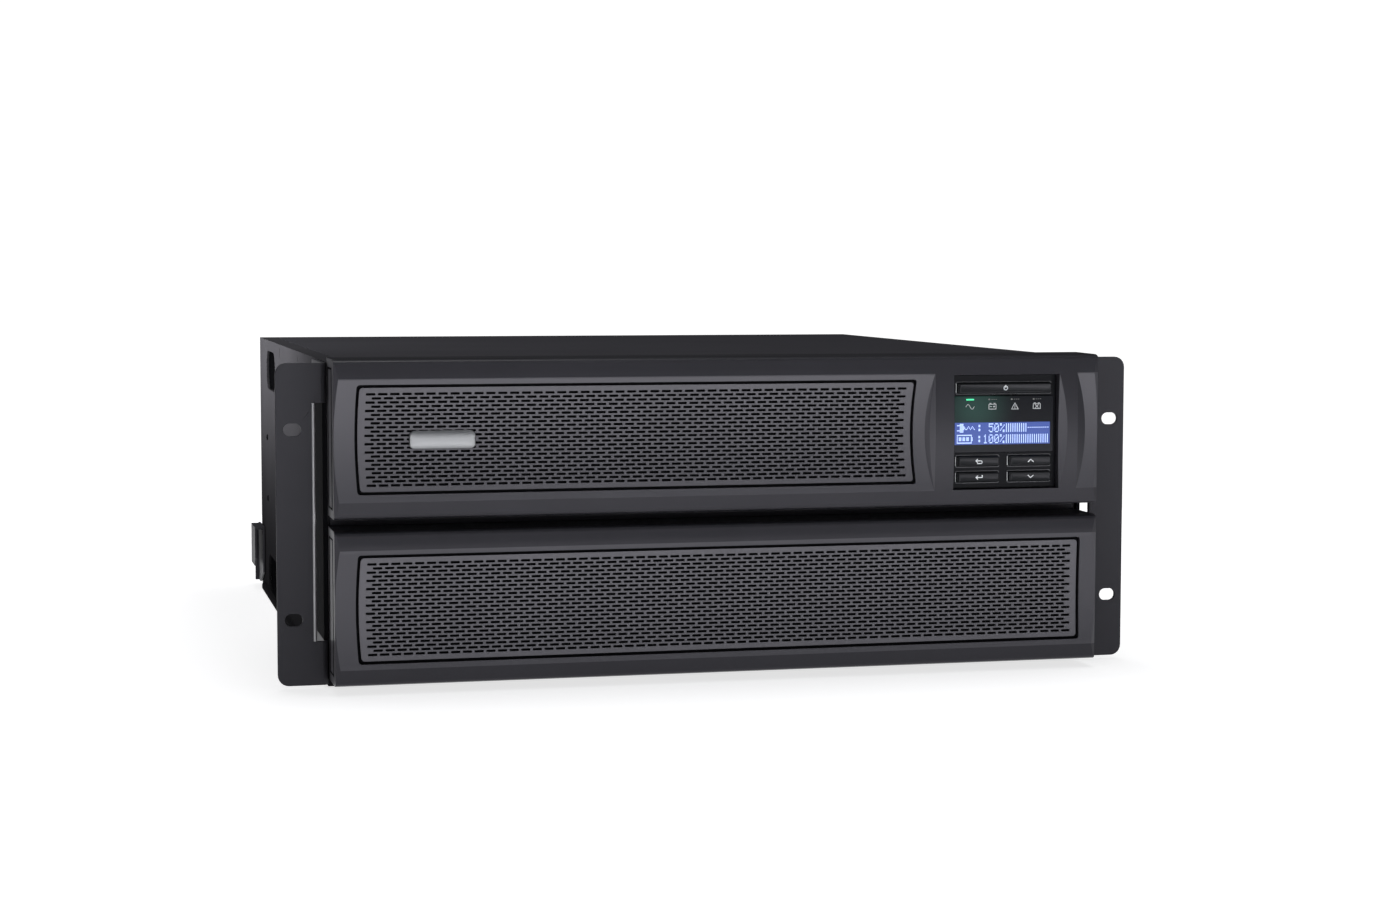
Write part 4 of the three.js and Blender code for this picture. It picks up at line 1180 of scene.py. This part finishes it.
def make_world():
    """White where it is seen directly; a dim room, darker behind, for the light it gives."""
    world = bpy.data.worlds.new("studio")
    bpy.context.scene.world = world
    world.use_nodes = True
    tree = world.node_tree
    room = tree.nodes["Background"]
    room.inputs["Strength"].default_value = ROOM_STRENGTH
    around = add_node(tree, "TexCoord", {}).outputs["Generated"]
    split = add_node(tree, "SeparateXYZ", {0: around})
    side = smooth_fade(tree, split.outputs["Y"], *ROOM_FADE, *ROOM_LEVELS)
    inputs = {"Fac": 1, "Color1": side, "Color2": ROOM_TINT}
    tint = add_node(tree, "MixRGB", inputs, blend_type="MULTIPLY")
    tree.links.new(tint.outputs["Color"], room.inputs["Color"])
    sky = add_node(tree, "Background", {"Color": (1, 1, 1, 1), "Strength": SKY_STRENGTH})
    seen = add_node(tree, "LightPath", {}).outputs["Is Camera Ray"]
    mix = add_node(tree, "MixShader", {0: seen, 1: room.outputs[0], 2: sky.outputs[0]})
    tree.links.new(mix.outputs[0], tree.nodes["World Output"].inputs["Surface"])


make_camera()
make_floor()
make_world()
add_light("overhead", (0.1, 0.2, 2.0), (0, 0.1, 0), (1.6, 1.2), 22, 180)
add_light("left_panel", (-0.40, 0.14, 0.20), (-0.214, 0.14, 0.205), (0.42, 0.06), 1.0, 110)
bpy.context.scene.view_settings.view_transform = "Standard"

# ---------------- build
make_bezel("upper_bezel", UPPER_FIELD, with_display=True)
make_bezel("lower_bezel", LOWER_FIELD, with_display=False)
make_end_lines("upper_bezel", UPPER_FIELD)
make_end_lines("lower_bezel", LOWER_FIELD)
for level, field, look in (("upper", UPPER_FIELD, FIELD), ("lower", LOWER_FIELD, FIELD_LOW_LIT)):
    make_grille(level + "_grille", field, level + "_bezel", look)
    # A matt black sheet behind each grille: painted shade.
    make_shade_sheet(level + "_shade_sheet", field, level + "_bezel")
for side, sign in (("left", -1), ("right", 1)):
    make_ear(side + "_rack_ear", sign)
    for level, z, floor in zip(("lower", "upper"), SIDE_HOLE_Z, CUP_FLOORS):
        make_hole_cup(f"{side}_{level}_hole_shade_cup", sign, z, floor)
    make_hem(side + "_side_hem", sign)
for side in ("left", "right"):
    make_rotor(side)
    make_guard(side)
make_screws()
make_badge()
make_window()
make_button_frames()
make_lcd()
make_lamps()
for button, symbol in BUTTON_SYMBOLS.items():
    make_button(button, symbol)

# ---------------- CAD nodes that stay
SLOT_LOOK = {
    "chassis_paint": PAINT, "plated_steel": STEEL, "bezel_plastic": BEZEL, "grille_plastic": FIELD,
    "badge_metal": SILVER, "black_plastic": BLACK, "button_plastic": KEY, "window_plastic": WINDOW,
    "lcd_face": LCD_BLUE, "circuit_board": BOARD, "light_pipe": PRINT, "aluminium": ALUMINIUM,
    "copper_winding": COPPER, "capacitor_sleeve": SLEEVE, "battery_case": CELL,
}
# The left side panel takes the paint with painted shade; the right one keeps the plain paint.
NODE_LOOK = {"left_side_panel": PANEL_PAINTED_SHADE, "top_cover": COVER, "display_housing": HOUSING}
PIERCED = {"rear_panel", "front_frame", "outlet_row", "outlet_square", "card_slot_cover", "large_outlet"}
EDGE_WIDTH = {"top_cover": 0.7, "left_side_panel": 0.6, "right_side_panel": 0.6}
SMALL_EDGE = 0.25
WELD_GAP = 0.01


def dress_cad_nodes():
    """Gives every CAD node its look and welds it; all but the pierced ones also get clean faces and rounded
    edges.
    """
    slots = {part["node"]: part["material_slot"] for part in frame["record"]["subparts"]}
    for name, node in frame["nodes"].items():
        node.data.materials.clear()
        node.data.materials.append(NODE_LOOK.get(name, SLOT_LOOK[slots[name]]))
        weld = node.modifiers.new("weld", "WELD")
        weld.merge_threshold = WELD_GAP * MM
        if name in PIERCED:
            continue
        flat = node.modifiers.new("flat_faces", "DECIMATE")
        flat.decimate_type = "DISSOLVE"
        flat.angle_limit = math.radians(2)
        add_bevel(node, EDGE_WIDTH.get(name, SMALL_EDGE), 30)


dress_cad_nodes()
